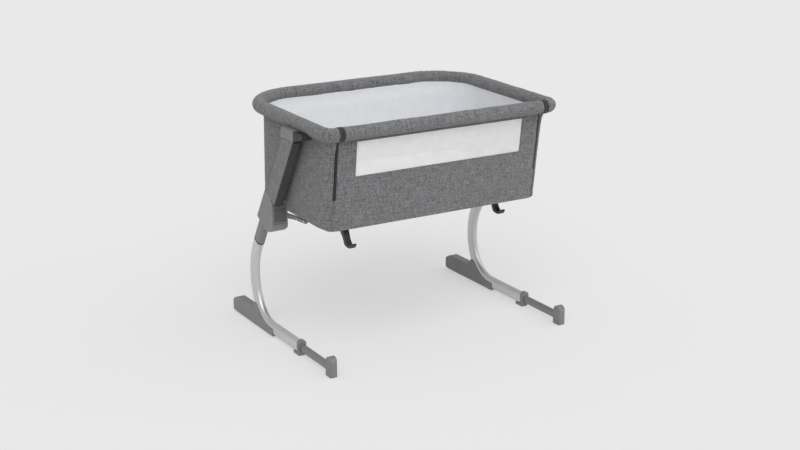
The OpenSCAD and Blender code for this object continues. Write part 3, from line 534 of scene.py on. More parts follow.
# Rim cover
def rim_path():
    pts = []

    def add(x, y, nx, ny):
        c, s = math.cos(TILT), math.sin(TILT)
        p = Vector((x, RIM_OFF + y * c, MID_Z + y * s))
        pts.append((p, Vector((nx, ny * c, ny * s)), Vector((0, -s, c))))

    def line(x0, y0, x1, y1, nx, ny, step=3.0):
        n = max(2, int(math.hypot(x1 - x0, y1 - y0) / step))
        for i in range(n):
            add(x0 + (x1 - x0) * i / n, y0 + (y1 - y0) * i / n, nx, ny)

    def arc(cx, cy, r, a0, a1, step=3.0):
        n = max(6, int(abs(math.radians(a1 - a0)) * r / step))
        for i in range(n):
            a = math.radians(a0 + (a1 - a0) * i / n)
            add(cx + r * math.cos(a), cy + r * math.sin(a), math.cos(a), math.sin(a))

    line(-RAIL_HALF - 0.2, -RAIL_Y, -RAIL_X + FRONT_R, -RAIL_Y, 0, -1, 2.5)
    arc(-RAIL_X + FRONT_R, -RAIL_Y + FRONT_R, FRONT_R, 270, 180, 3.5)
    line(-RAIL_X, -RAIL_Y + FRONT_R, -RAIL_X, RAIL_Y - REAR_R, -1, 0)
    arc(-RAIL_X + REAR_R, RAIL_Y - REAR_R, REAR_R, 180, 90)
    line(-RAIL_X + REAR_R, RAIL_Y, RAIL_X - REAR_R, RAIL_Y, 0, 1)
    arc(RAIL_X - REAR_R, RAIL_Y - REAR_R, REAR_R, 90, 0)
    line(RAIL_X, RAIL_Y - REAR_R, RAIL_X, -RAIL_Y + FRONT_R, 1, 0)
    arc(RAIL_X - FRONT_R, -RAIL_Y + FRONT_R, FRONT_R, 0, -90, 3.5)
    line(RAIL_X - FRONT_R, -RAIL_Y, RAIL_HALF + 0.2, -RAIL_Y, 0, -1, 2.5)
    add(RAIL_HALF + 0.2, -RAIL_Y, 0, -1)
    return pts


def pad_radius(path, seams=()):
    """Radius of a padded tube. seams are plan points at which two lengths of its cover are joined."""
    total = [0.0]
    for a, b in zip(path, path[1:]):
        total.append(total[-1] + (b[0] - a[0]).length)
    bend = []
    for i in range(len(path)):
        a, b = path[max(0, i - 5)][1], path[min(len(path) - 1, i + 5)][1]
        bend.append(min(1.0, a.angle(b) * 5) if a.length and b.length else 0.0)
    end = total[-1]
    joins = [total[min(range(len(path)), key=lambda i: (path[i][0].xy - Vector(q)).length)] for q in seams]

    def radius(i, a):
        s = total[i]
        p = path[i][0]
        r = PAD_R + 0.3 + 1.1 * wobble(p.x, p.y, 40 * math.cos(a) + p.z, 60, 1.0)
        r += 0.45 * wobble(p.x, p.y, 24 * math.sin(a), 17, 5.0)
        inner = max(0.0, -math.cos(a))
        r += bend[i] * inner * 1.1 * math.sin(s / 2.1 + 2.0 * wobble(p.x, p.y, 0, 30, 2.0))
        r += bend[i] * max(0.0, math.sin(a)) * 0.5 * math.sin(s / 3.3)
        # Seam under the tube, on the inside
        d = abs(((a - math.radians(236) + math.pi) % (2 * math.pi)) - math.pi) * PAD_R
        r -= 1.1 * math.exp(-(d / 1.6) ** 2)
        r -= sum(1.7 * math.exp(-((s - k) / 2.2) ** 2) for k in joins)
        # The cover is drawn in under the bands
        near = min(s, end - s)
        r -= 0.9 * math.exp(-(near / 7.0) ** 2)
        return r
    return radius


path = rim_path()
COVER_SEAMS = [(-415, -267), (-414, 217), (374, 280), (424, -135), (415, -267)]
rim_cover = tube_along("rim_cover", path, pad_radius(path, COVER_SEAMS), grey_weave, "basket", 36)
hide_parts("rim_padding")


def bar_path(x0, x1, step):
    n = int(abs(x1 - x0) / step)
    out, up = Vector((0, -1, 0)), Vector((0, 0, 1))
    return [(Vector((x0 + (x1 - x0) * i / n, FRONT_RAIL_Y, FRONT_RAIL_Z)), out, up) for i in range(n + 1)]


bar = bar_path(-RAIL_HALF + 0.2, RAIL_HALF - 0.2, 6.0)
rail_cover = tube_along("rail_cover", bar, pad_radius(bar), grey_weave, "drop_side", 36)
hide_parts("front_padding")


def band(name, x0, x1, body, node):
    """Webbing wound round the rail, with rounded edges."""
    verts, faces, uvs = [], [], []
    low, edge = PAD_R - 1.2, 23.0
    prof = [(0.0, low), (0.0, edge), (0.06, BAND_R), (0.94, BAND_R), (1.0, edge), (1.0, low)]
    m = 56
    for s in (-1, 1):
        base = len(verts)
        for t, r in prof:
            for j in range(m):
                a = 2 * math.pi * j / m
                rr = r + 0.12 * wobble(x0, 20 * math.cos(a), 20 * math.sin(a), 9, s * 2.0)
                x = s * (x0 + (x1 - x0) * t)
                verts.append(Vector((x, FRONT_RAIL_Y - rr * math.cos(a), FRONT_RAIL_Z + rr * math.sin(a))))
                uvs.append((a * 25, (x0 + (x1 - x0) * t)))
        faces += quads(len(prof), m, base)
    o = make(name, verts, faces, dark_web, uvs, body)
    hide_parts(node)


band("rim_band_webbing", RAIL_HALF + 0.2, RAIL_HALF + 7.2, "basket", "rim_bands")
band("rail_band_webbing", RAIL_HALF - 12.2, RAIL_HALF - 0.2, "drop_side", "rail_bands")


# Fabric walls
def panel_columns():
    """Columns of an end wall, as (part of the plan, place on it, share of a part whose ends move)."""
    cols = []
    for i in range(9):
        cols.append((1, None, i / 8))
    for i in range(1, 35):
        cols.append((2, i / 34, None))
    for i in range(1, 17):
        cols.append((3, i / 16, None))
    for i in range(1, 9):
        cols.append((4, None, i / 8))
    return cols


def wall_place(seg, t, f, z):
    """Place on a part of the plan at a height."""
    if seg == 1:
        t1 = front_corner_t(RAIL_HALF + 0.2, z)
        return t1 + (1 - t1) * f
    if seg == 4:
        return (wall_x(z) - rear_r(z)) * (1 - f) + REAR_SPLIT * f
    return t


def end_wall(name, sgn, node):
    cols = panel_columns()
    rows, uvs = [], []
    # Length along the wall at mid height, for the weave
    run, prev = [], None
    for seg, t, f in cols:
        p, _ = plan(seg, wall_place(seg, t, f, 600), 600, 0, sgn)
        run.append(0.0 if prev is None else run[-1] + (p - prev).length)
        prev = p
    total = run[-1]
    for sh in wall_rows():
        row, uv = [], []
        for (seg, t, f), s in zip(cols, run):
            z = SKIRT + sh * 300
            # The arch and the rim's slope move the height that a share stands for
            for _ in range(2):
                place = wall_place(seg, t, f, z)
                p, n = plan(seg, place, z, 0, sgn)
                z0 = arch(p.y) if seg in (1, 2, 3) else SKIRT
                z1 = rim_z(p.y) - WALL_DROP
                z = z0 + sh * (z1 - z0)
            p, n = plan(seg, place, z, 0, sgn)
            h = z - z0
            edge = min(s, total - s)
            soft = ease(0, 25, edge) * ease(0, 20, h) * ease(0, 26, z1 - z)
            d = creases(p.x, p.y, p.z, 1.0 + sgn) * soft
            # Gathers where the cloth is drawn up to the rim
            gather = math.sin(s / 6.5 + 2 * wobble(s, 0, 0, 40, 3))
            d += 0.9 * ease(60, 0, z1 - z) * gather * ease(0, 15, edge)
            d += hem_shift(h) * ease(0, 3, edge)
            d -= 0.9 * math.exp(-(edge / 2.2) ** 2)
            row.append(flare(p + n * d, z, WALL_REACH))
            uv.append((s, z))
        rows.append(row)
        uvs.append(uv)
    o = grid(name, rows, uvs, grey_weave, "basket", WALL_CLOTH, out=-sgn)
    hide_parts(node)


end_wall("end_wall_left", -1, "end_panel_left")
end_wall("end_wall_right", 1, "end_panel_right")


def flat_wall(name, x_to, at, z0, z1, node, seed, out=1.0, reach=None):
    """A front or rear wall between -x_to and x_to, with a hem along its lower edge."""
    n = int(2 * x_to / 12.0)
    xs = [-x_to, -x_to + 1.0, -x_to + 3.0, -x_to + 6.0]
    xs += [-x_to + 6.0 + (2 * x_to - 12.0) * i / n for i in range(1, n)]
    xs += [x_to - 6.0, x_to - 3.0, x_to - 1.0, x_to]
    rows, uvs = [], []
    for sh in wall_rows():
        row, uv = [], []
        for x in xs:
            z = z0 + sh * (z1 - z0)
            p, nn = at(x, z)
            edge = x_to - abs(x)
            h = z - z0
            d = creases(p.x, p.y, p.z, seed) * ease(0, 25, edge) * ease(0, 20, h) * ease(0, 26, z1 - z)
            d += hem_shift(h) * ease(0, 3, edge)
            d -= 0.8 * math.exp(-(edge / 2.2) ** 2)
            q = p + nn * d
            row.append(flare(q, z, reach) if reach else q)
            uv.append((x, z))
        rows.append(row)
        uvs.append(uv)
    o = grid(name, rows, uvs, grey_weave, "basket", WALL_CLOTH, out=out)
    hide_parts(node)
    return o


def rear_at(x, z):
    return plan(4, abs(x), z, 0, -1 if x < 0 else 1)


rear_wall = flat_wall("rear_wall", REAR_SPLIT - 0.3, rear_at, SKIRT, rim_z(314) - WALL_DROP, "rear_panel",
                      4.0, out=-1.0, reach=WALL_REACH)

skirt = flat_wall("front_skirt_cloth", RAIL_HALF - 0.2, front_at, SKIRT, FOLD_Z - 0.05, "front_skirt", 6.0)


def fold_cord():
    """Piping in the fold: a thin round cord in the wall's own cloth."""
    pts = []
    for i in range(65):
        x = -RAIL_HALF + 2 + (2 * RAIL_HALF - 4) * i / 64
        p, _ = front_at(x, FOLD_Z, 2.1)
        pts.append((p, Vector((0, -1, 0)), Vector((0, 0, 1))))
    o = tube_along("fold_piping_cloth", pts, lambda i, a: 1.0, grey_weave, "basket", 10)
    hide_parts("fold_piping")


fold_cord()


def corner_seam(name, sgn):
    """Dark seam that carries the zip's line on down to the hem."""
    pts = []
    for i in range(25):
        z = SKIRT + 1 + (FOLD_Z - SKIRT - 3) * i / 24
        p, n = front_at(sgn * RAIL_HALF, z, 0.4)
        pts.append((p, Vector((n.y, -n.x, 0)), n))
    tube_along(name, pts, lambda i, a: 1.0, dark_web, "basket", 10)


corner_seam("corner_seam_left", -1)
corner_seam("corner_seam_right", 1)


# Drop side: the front wall above the fold, with its window
def drop_front():
    low = -DROP_HALF
    xs = [low, low + 1, low + 3, low + 6] + [-376 + 57.0 * i / 7 for i in range(1, 7)] + [-319, -316, -313]
    xs += [-WIN_X + 2 * WIN_X * i / 56 for i in range(56)] + [WIN_X]
    xs += [-x for x in reversed(xs[:13])]
    z0 = FOLD_Z + 0.05
    z1 = FRONT_RAIL_Z - WALL_DROP
    zs = [z0, z0 + 0.3, z0 + 1.2] + [z0 + 66 * i / 9 for i in range(1, 10)] + [606, 609, 611.5, WIN_LOW]
    zs += [WIN_LOW + (WIN_HIGH - WIN_LOW) * i / 14 for i in range(1, 14)]
    zs += [WIN_HIGH, 731.5, 735, 740, z1]
    iw = [i for i, z in enumerate(zs) if z in (WIN_LOW, WIN_HIGH)]
    jw = [j for j, x in enumerate(xs) if abs(abs(x) - WIN_X) < 1e-6]

    def at(x, z):
        p, nn = front_at(x, z)
        edge = DROP_HALF - abs(x)
        to_win = max(abs(x) - WIN_X, WIN_LOW - z, z - WIN_HIGH)
        d = creases(p.x, p.y, p.z, 9.0) * ease(0, 20, edge) * ease(0, 15, z - z0) * ease(0, 20, z1 - z)
        d *= ease(0, 30, to_win)
        # Slanted pull creases between the zip and the window
        side = ease(0, 14, abs(x) - WIN_X) * ease(0, 10, edge)
        lean = (abs(x) - WIN_X) * 0.8 + (z - 640) * 0.55
        pull = math.sin(lean / 7.5 + 1.2 * wobble(x, z, 0, 35, 2))
        d += 1.5 * side * pull * ease(590, 660, z) * ease(748, 715, z)
        d -= 0.8 * math.exp(-(edge / 2.2) ** 2)
        # Turned edge round the window
        d += 0.5 * math.exp(-((to_win - 3.0) / 3.0) ** 2)
        return p + nn * d

    def skip(i, j):
        return iw[0] <= i < iw[1] and jw[0] <= j < jw[1]
    o = grid("drop_wall", *rows_at(xs, zs, at), grey_weave, "drop_side", WALL_CLOTH, skip=skip)
    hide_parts("drop_panel")


drop_front()


def mesh_window():
    x0, z0, z1 = WIN_X + 2.5, WIN_LOW - 2.5, WIN_HIGH + 2.5

    def at(x, z):
        p, nn = front_at(x, z, WALL_T / 2)
        inner = ease(0, 45, x0 - abs(x)) * ease(0, 35, z - z0) * ease(0, 35, z1 - z)
        return p + nn * (inner * (0.9 * wobble(x, 0, z, 120, 7) + 0.35 * wobble(x, 0, z * 0.5, 40, 8)))
    xs, zs = [-x0 + 2 * x0 * j / 80 for j in range(81)], [z0 + (z1 - z0) * i / 24 for i in range(25)]
    o = grid("window_net", *rows_at(xs, zs, at), net_white, "drop_side")
    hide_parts("window_mesh")


mesh_window()


def window_binding():
    """Narrow folded tape sewn round the window."""
    w = 6.0
    verts, uvs = [], []
    corners = [(-WIN_X, WIN_LOW), (WIN_X, WIN_LOW), (WIN_X, WIN_HIGH), (-WIN_X, WIN_HIGH)]
    loop = []
    for (ax, az), (bx, bz) in zip(corners, corners[1:] + corners[:1]):
        n = max(2, int(math.hypot(bx - ax, bz - az) / 12))
        loop += [(ax + (bx - ax) * i / n, az + (bz - az) * i / n) for i in range(n)]

    def beside(x, z, off):
        """A point of the window's edge, moved off by a distance."""
        if abs(abs(x) - WIN_X) < 1e-6:
            x += math.copysign(off, x)
        if min(abs(z - WIN_LOW), abs(z - WIN_HIGH)) < 1e-6:
            z += off if z > 670 else -off
        return x, z
    prof = [(-0.6, 1.9), (-0.6, -0.15), (0.4, -0.75), (w - 1.4, -0.75), (w, -0.1), (w, 0.6)]
    for off, m in prof:
        for q in loop:
            uvs.append(beside(*q, off))
            verts.append(front_at(*uvs[-1], m)[0])
    o = make("window_binding", verts, quads(len(prof), len(loop)), grey_weave, uvs, "drop_side")
    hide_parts("window_hem")
    lines = [[front_at(*beside(*q, off), -0.72) for q in loop + loop[:1]] for off in (1.2, 4.4)]
    stitches("window_stitching", lines, thread, "drop_side")


window_binding()


# White lining
def basket_lining():
    """Lining of the whole basket, from the front edge on one side round the rear to the other."""
    def ring(z, m):
        pts = []
        t1 = front_corner_t(RAIL_HALF - 0.5, z)
        for i in range(9):
            pts.append((1, t1 + (1 - t1) * i / 8))
        for i in range(1, 29):
            pts.append((2, i / 28))
        for i in range(1, 17):
            pts.append((3, i / 16))
        left = [plan(s, t, z, m, -1) for s, t in pts]
        x_end = wall_x(z) - rear_r(z)
        rear = [plan(4, abs(x), z, m, -1 if x < 0 else 1)
                for x in [-x_end + 2 * x_end * i / 40 for i in range(1, 40)]]
        right = [plan(s, t, z, m, 1) for s, t in reversed(pts)]
        return left + rear + right
    zs = [LINING_LOW + (LINING_TOP - LINING_LOW) * i / 40 for i in range(41)]
    rows, uvs = [], []
    mid = ring(600, LINING_IN)
    run = [0.0]
    for a, b in zip(mid, mid[1:]):
        run.append(run[-1] + (b[0] - a[0]).length)
    for z in zs:
        row, uv = [], []
        for (p, n), s in zip(ring(z, LINING_IN), run):
            edge = min(s, run[-1] - s)
            soft = ease(0, 15, edge) * ease(0, 20, z - 475) * ease(0, 15, 752 - z)
            corner = math.exp(-((abs(p.x) - 385) / 60) ** 2) * math.exp(-((p.y - 230) / 70) ** 2)
            d = (0.7 * wobble(p.x, p.y, z * 0.35, 60, 11) + 0.5) * soft
            d += 1.3 * corner * soft * (0.5 + 0.5 * math.sin(s / 9.0 + wobble(p.x, p.y, z, 60, 4)))
            d += 0.4 * ease(700, 735, z) * (0.5 + 0.5 * math.sin(s / 5.0)) * soft
            # Vertical seams behind the rear corners
            for sx in (-1, 1):
                d -= 0.8 * math.exp(-((p.x - sx * 250) / 1.8) ** 2) * (1 if p.y > 100 else 0)
            row.append(flare(p - n * d, z, LINING_REACH))
            uv.append((s, z))
        rows.append(row)
        uvs.append(uv)
    o = grid("basket_lining", rows, uvs, white_lining, "basket", LINING_CLOTH)
    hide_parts("basket_liner")


def skirt_lining():
    """Lining of the front skirt, below the fold."""
    half, top = RAIL_HALF - 0.7, FOLD_Z - 1.0

    def at(x, z):
        p, n = front_at(x, z, LINING_IN)
        return p - n * (0.4 + 0.5 * wobble(x, 0, z, 50, 13) * ease(0, 10, RAIL_HALF - abs(x)))
    xs = [-half + 2 * half * j / 80 for j in range(81)]
    zs = [LINING_LOW + (top - LINING_LOW) * i / 10 for i in range(11)]
    o = grid("skirt_lining", *rows_at(xs, zs, at), white_lining, "basket", LINING_CLOTH, out=-1.0)
    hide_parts("basket_liner")


basket_lining()
skirt_lining()


def drop_lining():
    xs = [-380 + 68.5 * i / 8 for i in range(8)] + [-WIN_X + 2 * WIN_X * i / 50 for i in range(51)]
    xs += [WIN_X + 68.5 * i / 8 for i in range(1, 9)]
    zs = [FOLD_Z + 3.6 + 75.4 * i / 8 for i in range(8)]
    zs += [WIN_LOW + (WIN_HIGH - WIN_LOW) * i / 10 for i in range(11)] + [733, 738, 746]

    def at(x, z):
        p, n = front_at(x, z, LINING_IN)
        return p - n * (0.4 + 0.5 * wobble(x, 0, z, 50, 14) * ease(0, 15, 380 - abs(x)))

    def skip(i, j):
        zc, xc = (zs[i] + zs[i + 1]) / 2, (xs[j] + xs[j + 1]) / 2
        return WIN_LOW < zc < WIN_HIGH and abs(xc) < WIN_X
    o = grid("drop_lining", *rows_at(xs, zs, at), white_lining, "drop_side", LINING_CLOTH, skip=skip,
             out=-1.0)
    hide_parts("drop_liner")


drop_lining()


# Zips
def zip_side(name, x0, x1, teeth_x, body, node):
    """Tape on the wall with a row of moulded teeth along the split."""
    z0, z1 = FOLD_Z + 8, MID_Z - PAD_R - 6
    verts, faces, uvs, fm = [], [], [], []
    for s in (-1, 1):
        rows = 30
        for m in (-0.9, -0.15):
            base = len(verts)
            for i in range(rows + 1):
                z = z0 + (z1 - z0) * i / rows
                for x in (x0, (x0 + x1) / 2, x1):
                    p, n = front_at(s * x, z, m)
                    verts.append(p)
                    uvs.append((s * x, z))
            faces += quads(rows + 1, 3, base, closed=False)
            fm += [0] * (2 * rows)
        z = z0 + 1
        while z < z1 - 1.4:
            p, n = front_at(s * teeth_x, z, -0.9)
            side = Vector((-n.y, n.x, 0))
            base = len(verts)
            for h in (-0.4, 0.75):
                for a, b in ((-0.8, 0), (0.8, 0), (0.8, 1.3), (-0.8, 1.3)):
                    verts.append(p + side * a + n * h + Vector((0, 0, b)))
                    uvs.append((a, b))
            for f in ((4, 5, 6, 7), (0, 1, 5, 4), (1, 2, 6, 5), (2, 3, 7, 6), (3, 0, 4, 7)):
                faces.append(tuple(base + t for t in f))
                fm.append(1)
            z += 2.4
    o = make(name, verts, faces, [dark_web, zip_plastic], uvs, body, fm, smooth=False)
    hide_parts(node)


zip_side("zip_tape_basket", RAIL_HALF + 0.4, RAIL_HALF + 5.4, RAIL_HALF + 1.4, "basket", "zip_tracks")
zip_side("zip_tape_drop", RAIL_HALF - 7.2, RAIL_HALF - 2.2, RAIL_HALF - 3.2, "drop_side", "drop_zip_tracks")


def zip_guard(name, sgn):
    """Dark cloth flap behind the split, sewn to the basket's side of the zip."""
    z0, z1 = FOLD_Z + 1.5, MID_Z - PAD_R - 3
    xs, zs = (378.5, 381, 383.5, 386, 389, 392), [z0 + (z1 - z0) * i / 30 for i in range(31)]
    rows, uvs = rows_at(xs, zs, lambda x, z: front_at(sgn * x, z, 3.0)[0])
    grid(name, rows, uvs, dark_web, "basket", 0.4, out=-sgn)


zip_guard("zip_guard_left", -1)
zip_guard("zip_guard_right", 1)


# Leg covers
def at_leg(s, t, x, sgn):
    """A point s along the leg's upper run, t in front of its axis and x out from it."""
    y = MOUTH[0] - s * math.sin(LEAN) - t * math.cos(LEAN)
    z = MOUTH[1] + s * math.cos(LEAN) - t * math.sin(LEAN)
    return Vector((sgn * (LEG_X + x), y, z))


def leg_sleeve(name, sgn, node):
    """Sleeve over the guide tube, with a flat front flap that is painted near-black as shade: sags a little
    between its ends.
    """
    half, front, rear, s0 = 17.15, 50.0, 24.6, 218.6
    sec = []
    n = 8

    def arc(cx, cy, r, a0, a1):
        for i in range(n + 1):
            a = math.radians(a0 + (a1 - a0) * i / n)
            sec.append((cx + r * math.cos(a), cy + r * math.sin(a)))
    arc(half - 7, front - 7, 7, 0, 90)
    sec += [(x, front) for x in (6, 0, -6)]
    arc(-half + 7, front - 7, 7, 90, 180)
    sec += [(-half, t) for t in (32, 22, 12, 2, -4)]
    arc(-half + 15, -rear + 15, 15, 180, 270)
    arc(half - 15, -rear + 15, 15, 270, 360)
    sec += [(half, t) for t in (-4, 2, 12, 22, 32)]
    run = [0.0]
    for a, b in zip(sec, sec[1:]):
        run.append(run[-1] + math.hypot(b[0] - a[0], b[1] - a[1]))
    rows, uvs = [], []
    steps = [0, 1, 3, 6, 9, 10.5, 12, 15] + [15 + (SLEEVE_LEN - 15) * i / 34 for i in range(1, 35)]
    for ds in steps:
        row, uv = [], []
        for (x, t), r in zip(sec, run):
            # The upper end is cut level
            top = (SLEEVE_TOP - MOUTH[1] + t * math.sin(LEAN)) / math.cos(LEAN)
            s = s0 + ds / SLEEVE_LEN * (top - s0)
            nx, nt = x / half, (t - 12) / 37.0
            ln = math.hypot(nx, nt) or 1.0
            nx, nt = nx / ln, nt / ln
            d = 0.8 * wobble(x * 0.5 + sgn, t, s * 0.35, 24, 21) * ease(0, 14, ds) * ease(SLEEVE_LEN, 235, ds)
            ripple = math.sin(s / 13 + t / 8.0) * ease(10, 40, t)
            d += 0.5 * ripple * ease(0, 20, ds) * ease(SLEEVE_LEN, 230, ds)
            d += 0.6 * hem_shift(ds)
            # The side next to the wall keeps clear of it
            d = min(d, 1.0) if x < 0 else d
            row.append(at_leg(s, t + nt * d, x + nx * d * 0.8, sgn))
            uv.append((r, s))
        rows.append(row)
        uvs.append(uv)
    o = grid(name, rows, uvs, [grey_weave_pale, painted_shade_weave], "basket", LINING_CLOTH, closed=True, out=-sgn)
    # The front flap's faces take the second material, a near-black weave painted on as shade
    for i, poly in enumerate(o.data.polygons):
        poly.material_index = 1 if 3 <= i % len(sec) <= 17 else 0
    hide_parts(node)


leg_sleeve("leg_sleeve_left", -1, "leg_cover_left")
leg_sleeve("leg_sleeve_right", 1, "leg_cover_right")


# Stitching along the hems and seams
def hem_lines():
    """Lines of thread on the basket: both arches, the front corners, the rear seams and the level hems."""
    lines = []
    for sgn in (-1, 1):
        out = Vector((sgn, 0, 0))
        line = []
        for y in [-170 + 330 * i / 59 for i in range(60)]:
            z = arch(y) + 11.5
            if wall_front(z) + front_r(z) < y < wall_rear(z) - rear_r(z):
                line.append((Vector((sgn * wall_x(z), y, z)) + out * -0.25, out))
        lines.append(line)
        heights = [SKIRT + 14 + 278 * i / 24 for i in range(25)]
        lines.append([plan(1, min(1.0, front_corner_t(RAIL_HALF + 7.5, z)), z, 0.15, sgn) for z in heights])
        seam = [rear_at(sgn * (REAR_SPLIT + 6), z) for z in heights]
        lines.append([(p + n * 0.1, n) for p, n in seam])
    lines.append([front_at(-380 + 760 * i / 64, SKIRT + 11.5, 0.3) for i in range(65)])
    rear = [rear_at(-220 + 440 * i / 39, SKIRT + 11.5) for i in range(40)]
    lines.append([(p - n * 0.3, n) for p, n in rear])
    return lines


stitches("hem_stitching", hem_lines(), thread, "basket")


# Mattress
def mattress_plan(d):
    """Outline of the mattress, d inside the solid's own."""
    z = MATTRESS_Z
    liner, side_gap, front_gap = 1.2, 2.5, 3
    x = wall_x(z) - WALL_T - liner - side_gap - d
    y0 = wall_front(z) + WALL_T + liner + front_gap + d
    y1 = wall_rear(z) - WALL_T - liner - side_gap - d
    r0, r1 = max(8.0, 40 - 0.6 * d), max(10.0, rear_r(z) - 6.2 - 0.6 * d)
    pts = []

    def arc(cx, cy, r, a0):
        for i in range(13):
            a = math.radians(a0 + 90 * i / 12)
            pts.append((cx + r * math.cos(a), cy + r * math.sin(a)))
    arc(x - r1, y1 - r1, r1, 0)
    arc(-x + r1, y1 - r1, r1, 90)
    arc(-x + r0, y0 + r0, r0, 180)
    arc(x - r0, y0 + r0, r0, 270)
    out = []
    for i, p in enumerate(pts):
        q = pts[(i + 1) % len(pts)]
        out.append(p)
        gap = math.hypot(q[0] - p[0], q[1] - p[1])
        k = int(gap / 25)
        for j in range(1, k):
            out.append((p[0] + (q[0] - p[0]) * j / k, p[1] + (q[1] - p[1]) * j / k))
    return out


def pad_shape():
    """Closed start shape of the mattress, a little smaller than it ends."""
    import bmesh
    bm = bmesh.new()
    low, high = ([bm.verts.new((p[0] * MM, (p[1] + SHIFT) * MM, z * MM)) for p in mattress_plan(5)]
                 for z in (MATTRESS_Z + 5, MATTRESS_Z + MATTRESS_T - 9))
    bm.faces.new(list(reversed(low)))
    bm.faces.new(high)
    n = len(low)
    for i in range(n):
        j = (i + 1) % n
        bm.faces.new((low[i], low[j], high[j], high[i]))
    me = bpy.data.meshes.new("mattress_pad")
    bm.to_mesh(me)
    bm.free()
    o = bpy.data.objects.new("mattress_pad", me)
    bpy.context.scene.collection.objects.link(o)
    return o


def apply_all(o):
    dg = bpy.context.evaluated_depsgraph_get()
    me = bpy.data.meshes.new_from_object(o.evaluated_get(dg))
    o.modifiers.clear()
    o.data = me


def mattress_piece():
    o = pad_shape()
    rm = o.modifiers.new("remesh", "REMESH")
    rm.mode = "VOXEL"
    rm.voxel_size = 0.009
    apply_all(o)
    start = [v.co.copy() for v in o.data.vertices]
    c = o.modifiers.new("cloth", "CLOTH")
    c.settings.use_pressure = True
    c.settings.uniform_pressure_force = 4.0
    c.settings.effector_weights.gravity = 0.0
    c.settings.quality = 4
    c.collision_settings.use_collision = False
    sc = bpy.context.scene
    for f in range(1, 15):
        sc.frame_set(f)
    apply_all(o)
    sc.frame_set(1)
    me = o.data
    top = (MATTRESS_Z + MATTRESS_T) * MM
    for v, s in zip(me.vertices, start):
        move = v.co - s
        if move.length > 0.007:
            move = move * (0.007 / move.length)
        v.co = s + move
    # Quilting: a lattice of shallow channels sewn through the top, fading at the rim
    for v in me.vertices:
        x, y, z = v.co / MM
        if z > MATTRESS_Z + MATTRESS_T * 0.6:
            a, b = (x + y - SHIFT) / 92.0, (x - y + SHIFT) / 92.0
            da, db = abs(a - round(a)) * 92.0 / 1.414, abs(b - round(b)) * 92.0 / 1.414
            y -= SHIFT
            inner = ease(0, 40, min(404 - abs(x), y + 221, 279 - y))
            dip = 3.6 * math.exp(-(da / 7.0) ** 2) + 3.6 * math.exp(-(db / 7.0) ** 2)
            v.co.z -= min(5.0, dip) * inner * MM
        v.co.z = max((MATTRESS_Z + 0.2) * MM, min(top, v.co.z))
    for p in me.polygons:
        p.use_smooth = True
    me.materials.clear()
    me.materials.append(white_quilt)
    sub = o.modifiers.new("sub", "SUBSURF")
    sub.levels = 1
    sub.render_levels = 1
    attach(o, "mattress")
    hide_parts("mattress")
    # Piping round the upper edge
    ring = mattress_plan(2.8)
    z = MATTRESS_Z + MATTRESS_T - 9.5
    pts = []
    m = len(ring)
    for i in range(m + 1):
        p, q, r = (ring[(i + k) % m] for k in (-1, 0, 1))
        d = Vector((r[0] - p[0], r[1] - p[1], 0)).normalized()
        pts.append((Vector((q[0], q[1], z)), Vector((d.y, -d.x, 0)), Vector((0, 0, 1))))
    tube_along("mattress_piping", pts, lambda i, a: 1.3, white_quilt, "mattress", 8, caps=False)


mattress_piece()

# Soft edges on the rigid mouldings
for name, o in nodes.items():
    base = base_name(name)
    if base in ("housing", "heel", "collar", "toe", "height_lever", "hook", "rim_bracket"):
        b = o.modifiers.new("edge", "BEVEL")
        b.width = 0.0011 if base in ("housing", "heel", "toe") else 0.0007
        b.segments = 2
        b.limit_method = "ANGLE"
        b.angle_limit = math.radians(35)
        b.harden_normals = False
        b.use_clamp_overlap = True


# Floor, light and camera
BACKDROP = (0.83, 0.83, 0.83)


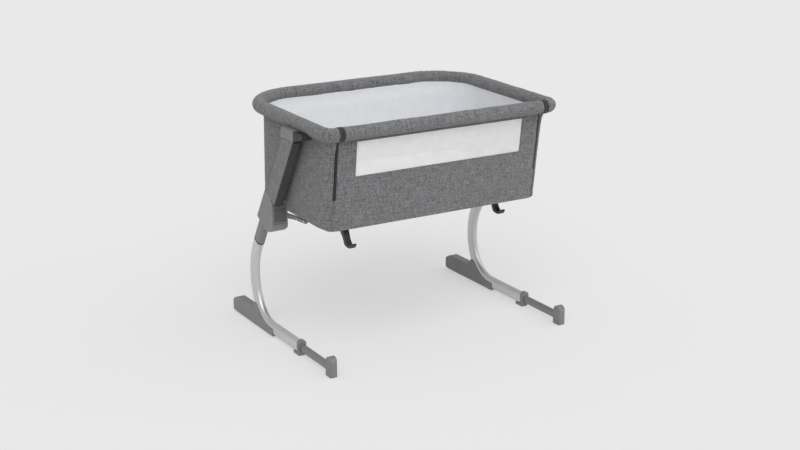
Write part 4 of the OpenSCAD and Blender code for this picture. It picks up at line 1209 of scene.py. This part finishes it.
def floor_mat():
    m = Mat("floor_paint", rough=0.9, spec=0.1)
    n = m.noise(m.coords("Object", (3, 3, 3)), 2.0, 0.5)
    m.put(m.b.inputs["Base Color"], m.ramp(n, [(0.3, (0.828, 0.828, 0.828)), (0.7, (0.832, 0.832, 0.832))]))
    path = m.node("LightPath").outputs
    seen = m.math("ADD", path["Is Camera Ray"], path["Is Glossy Ray"])
    seen = m.math("ADD", seen, path["Is Transmission Ray"], clamp=True)
    plain = m.node("Emission", {"Color": (*BACKDROP, 1), "Strength": 1.0}).outputs[0]
    both = m.node("MixShader", {0: m.math("MULTIPLY", seen, 0.55), 1: m.b.outputs[0], 2: plain})
    m.put(m.out.inputs["Surface"], both.outputs[0])
    return m.m


reach = 30000
floor = make("floor", [(-reach, -reach, 0), (reach, -reach, 0), (reach, reach, 0), (-reach, reach, 0)],
             [(0, 1, 2, 3)], floor_mat(), smooth=False)

world = bpy.data.worlds.new("studio")
bpy.context.scene.world = world
world.use_nodes = True
wt = world.node_tree
wt.nodes.clear()
w_out, w_bg, w_cam, w_mix, w_path = (
    wt.nodes.new("ShaderNode" + kind)
    for kind in ("OutputWorld", "Background", "Background", "MixShader", "LightPath"))
w_bg.inputs["Color"].default_value = (1.0, 1.0, 1.0, 1)
w_bg.inputs["Strength"].default_value = 0.55
w_cam.inputs["Color"].default_value = (*BACKDROP, 1)
wt.links.new(w_path.outputs["Is Camera Ray"], w_mix.inputs[0])
wt.links.new(w_bg.outputs[0], w_mix.inputs[1])
wt.links.new(w_cam.outputs[0], w_mix.inputs[2])
wt.links.new(w_mix.outputs[0], w_out.inputs["Surface"])


def sun(name, aim, strength, spread):
    d = bpy.data.lights.new(name, "SUN")
    d.energy = strength
    d.angle = math.radians(spread)
    o = bpy.data.objects.new(name, d)
    o.rotation_euler = Vector(aim).to_track_quat("-Z", "Y").to_euler()
    bpy.context.scene.collection.objects.link(o)


sun("key", (0.40, 0.75, -0.90), 1.35, 50)
sun("fill", (-0.9, 0.6, -0.75), 0.60, 70)

# The photo's camera: 17.16 degrees down, turned 31.12 degrees
cam_data = bpy.data.cameras.new("photo_view")
cam_data.sensor_width = 36.0
cam_data.lens = 64.75
cam_data.clip_end = 100.0
cam = bpy.data.objects.new("photo_view", cam_data)
cam.location = (-2.424, -4.0315, 1.790)
cam.rotation_euler = (math.radians(90 - 17.16), 0.0, math.radians(-31.12))
bpy.context.scene.collection.objects.link(cam)
bpy.context.scene.camera = cam
bpy.context.scene.view_settings.view_transform = "Standard"
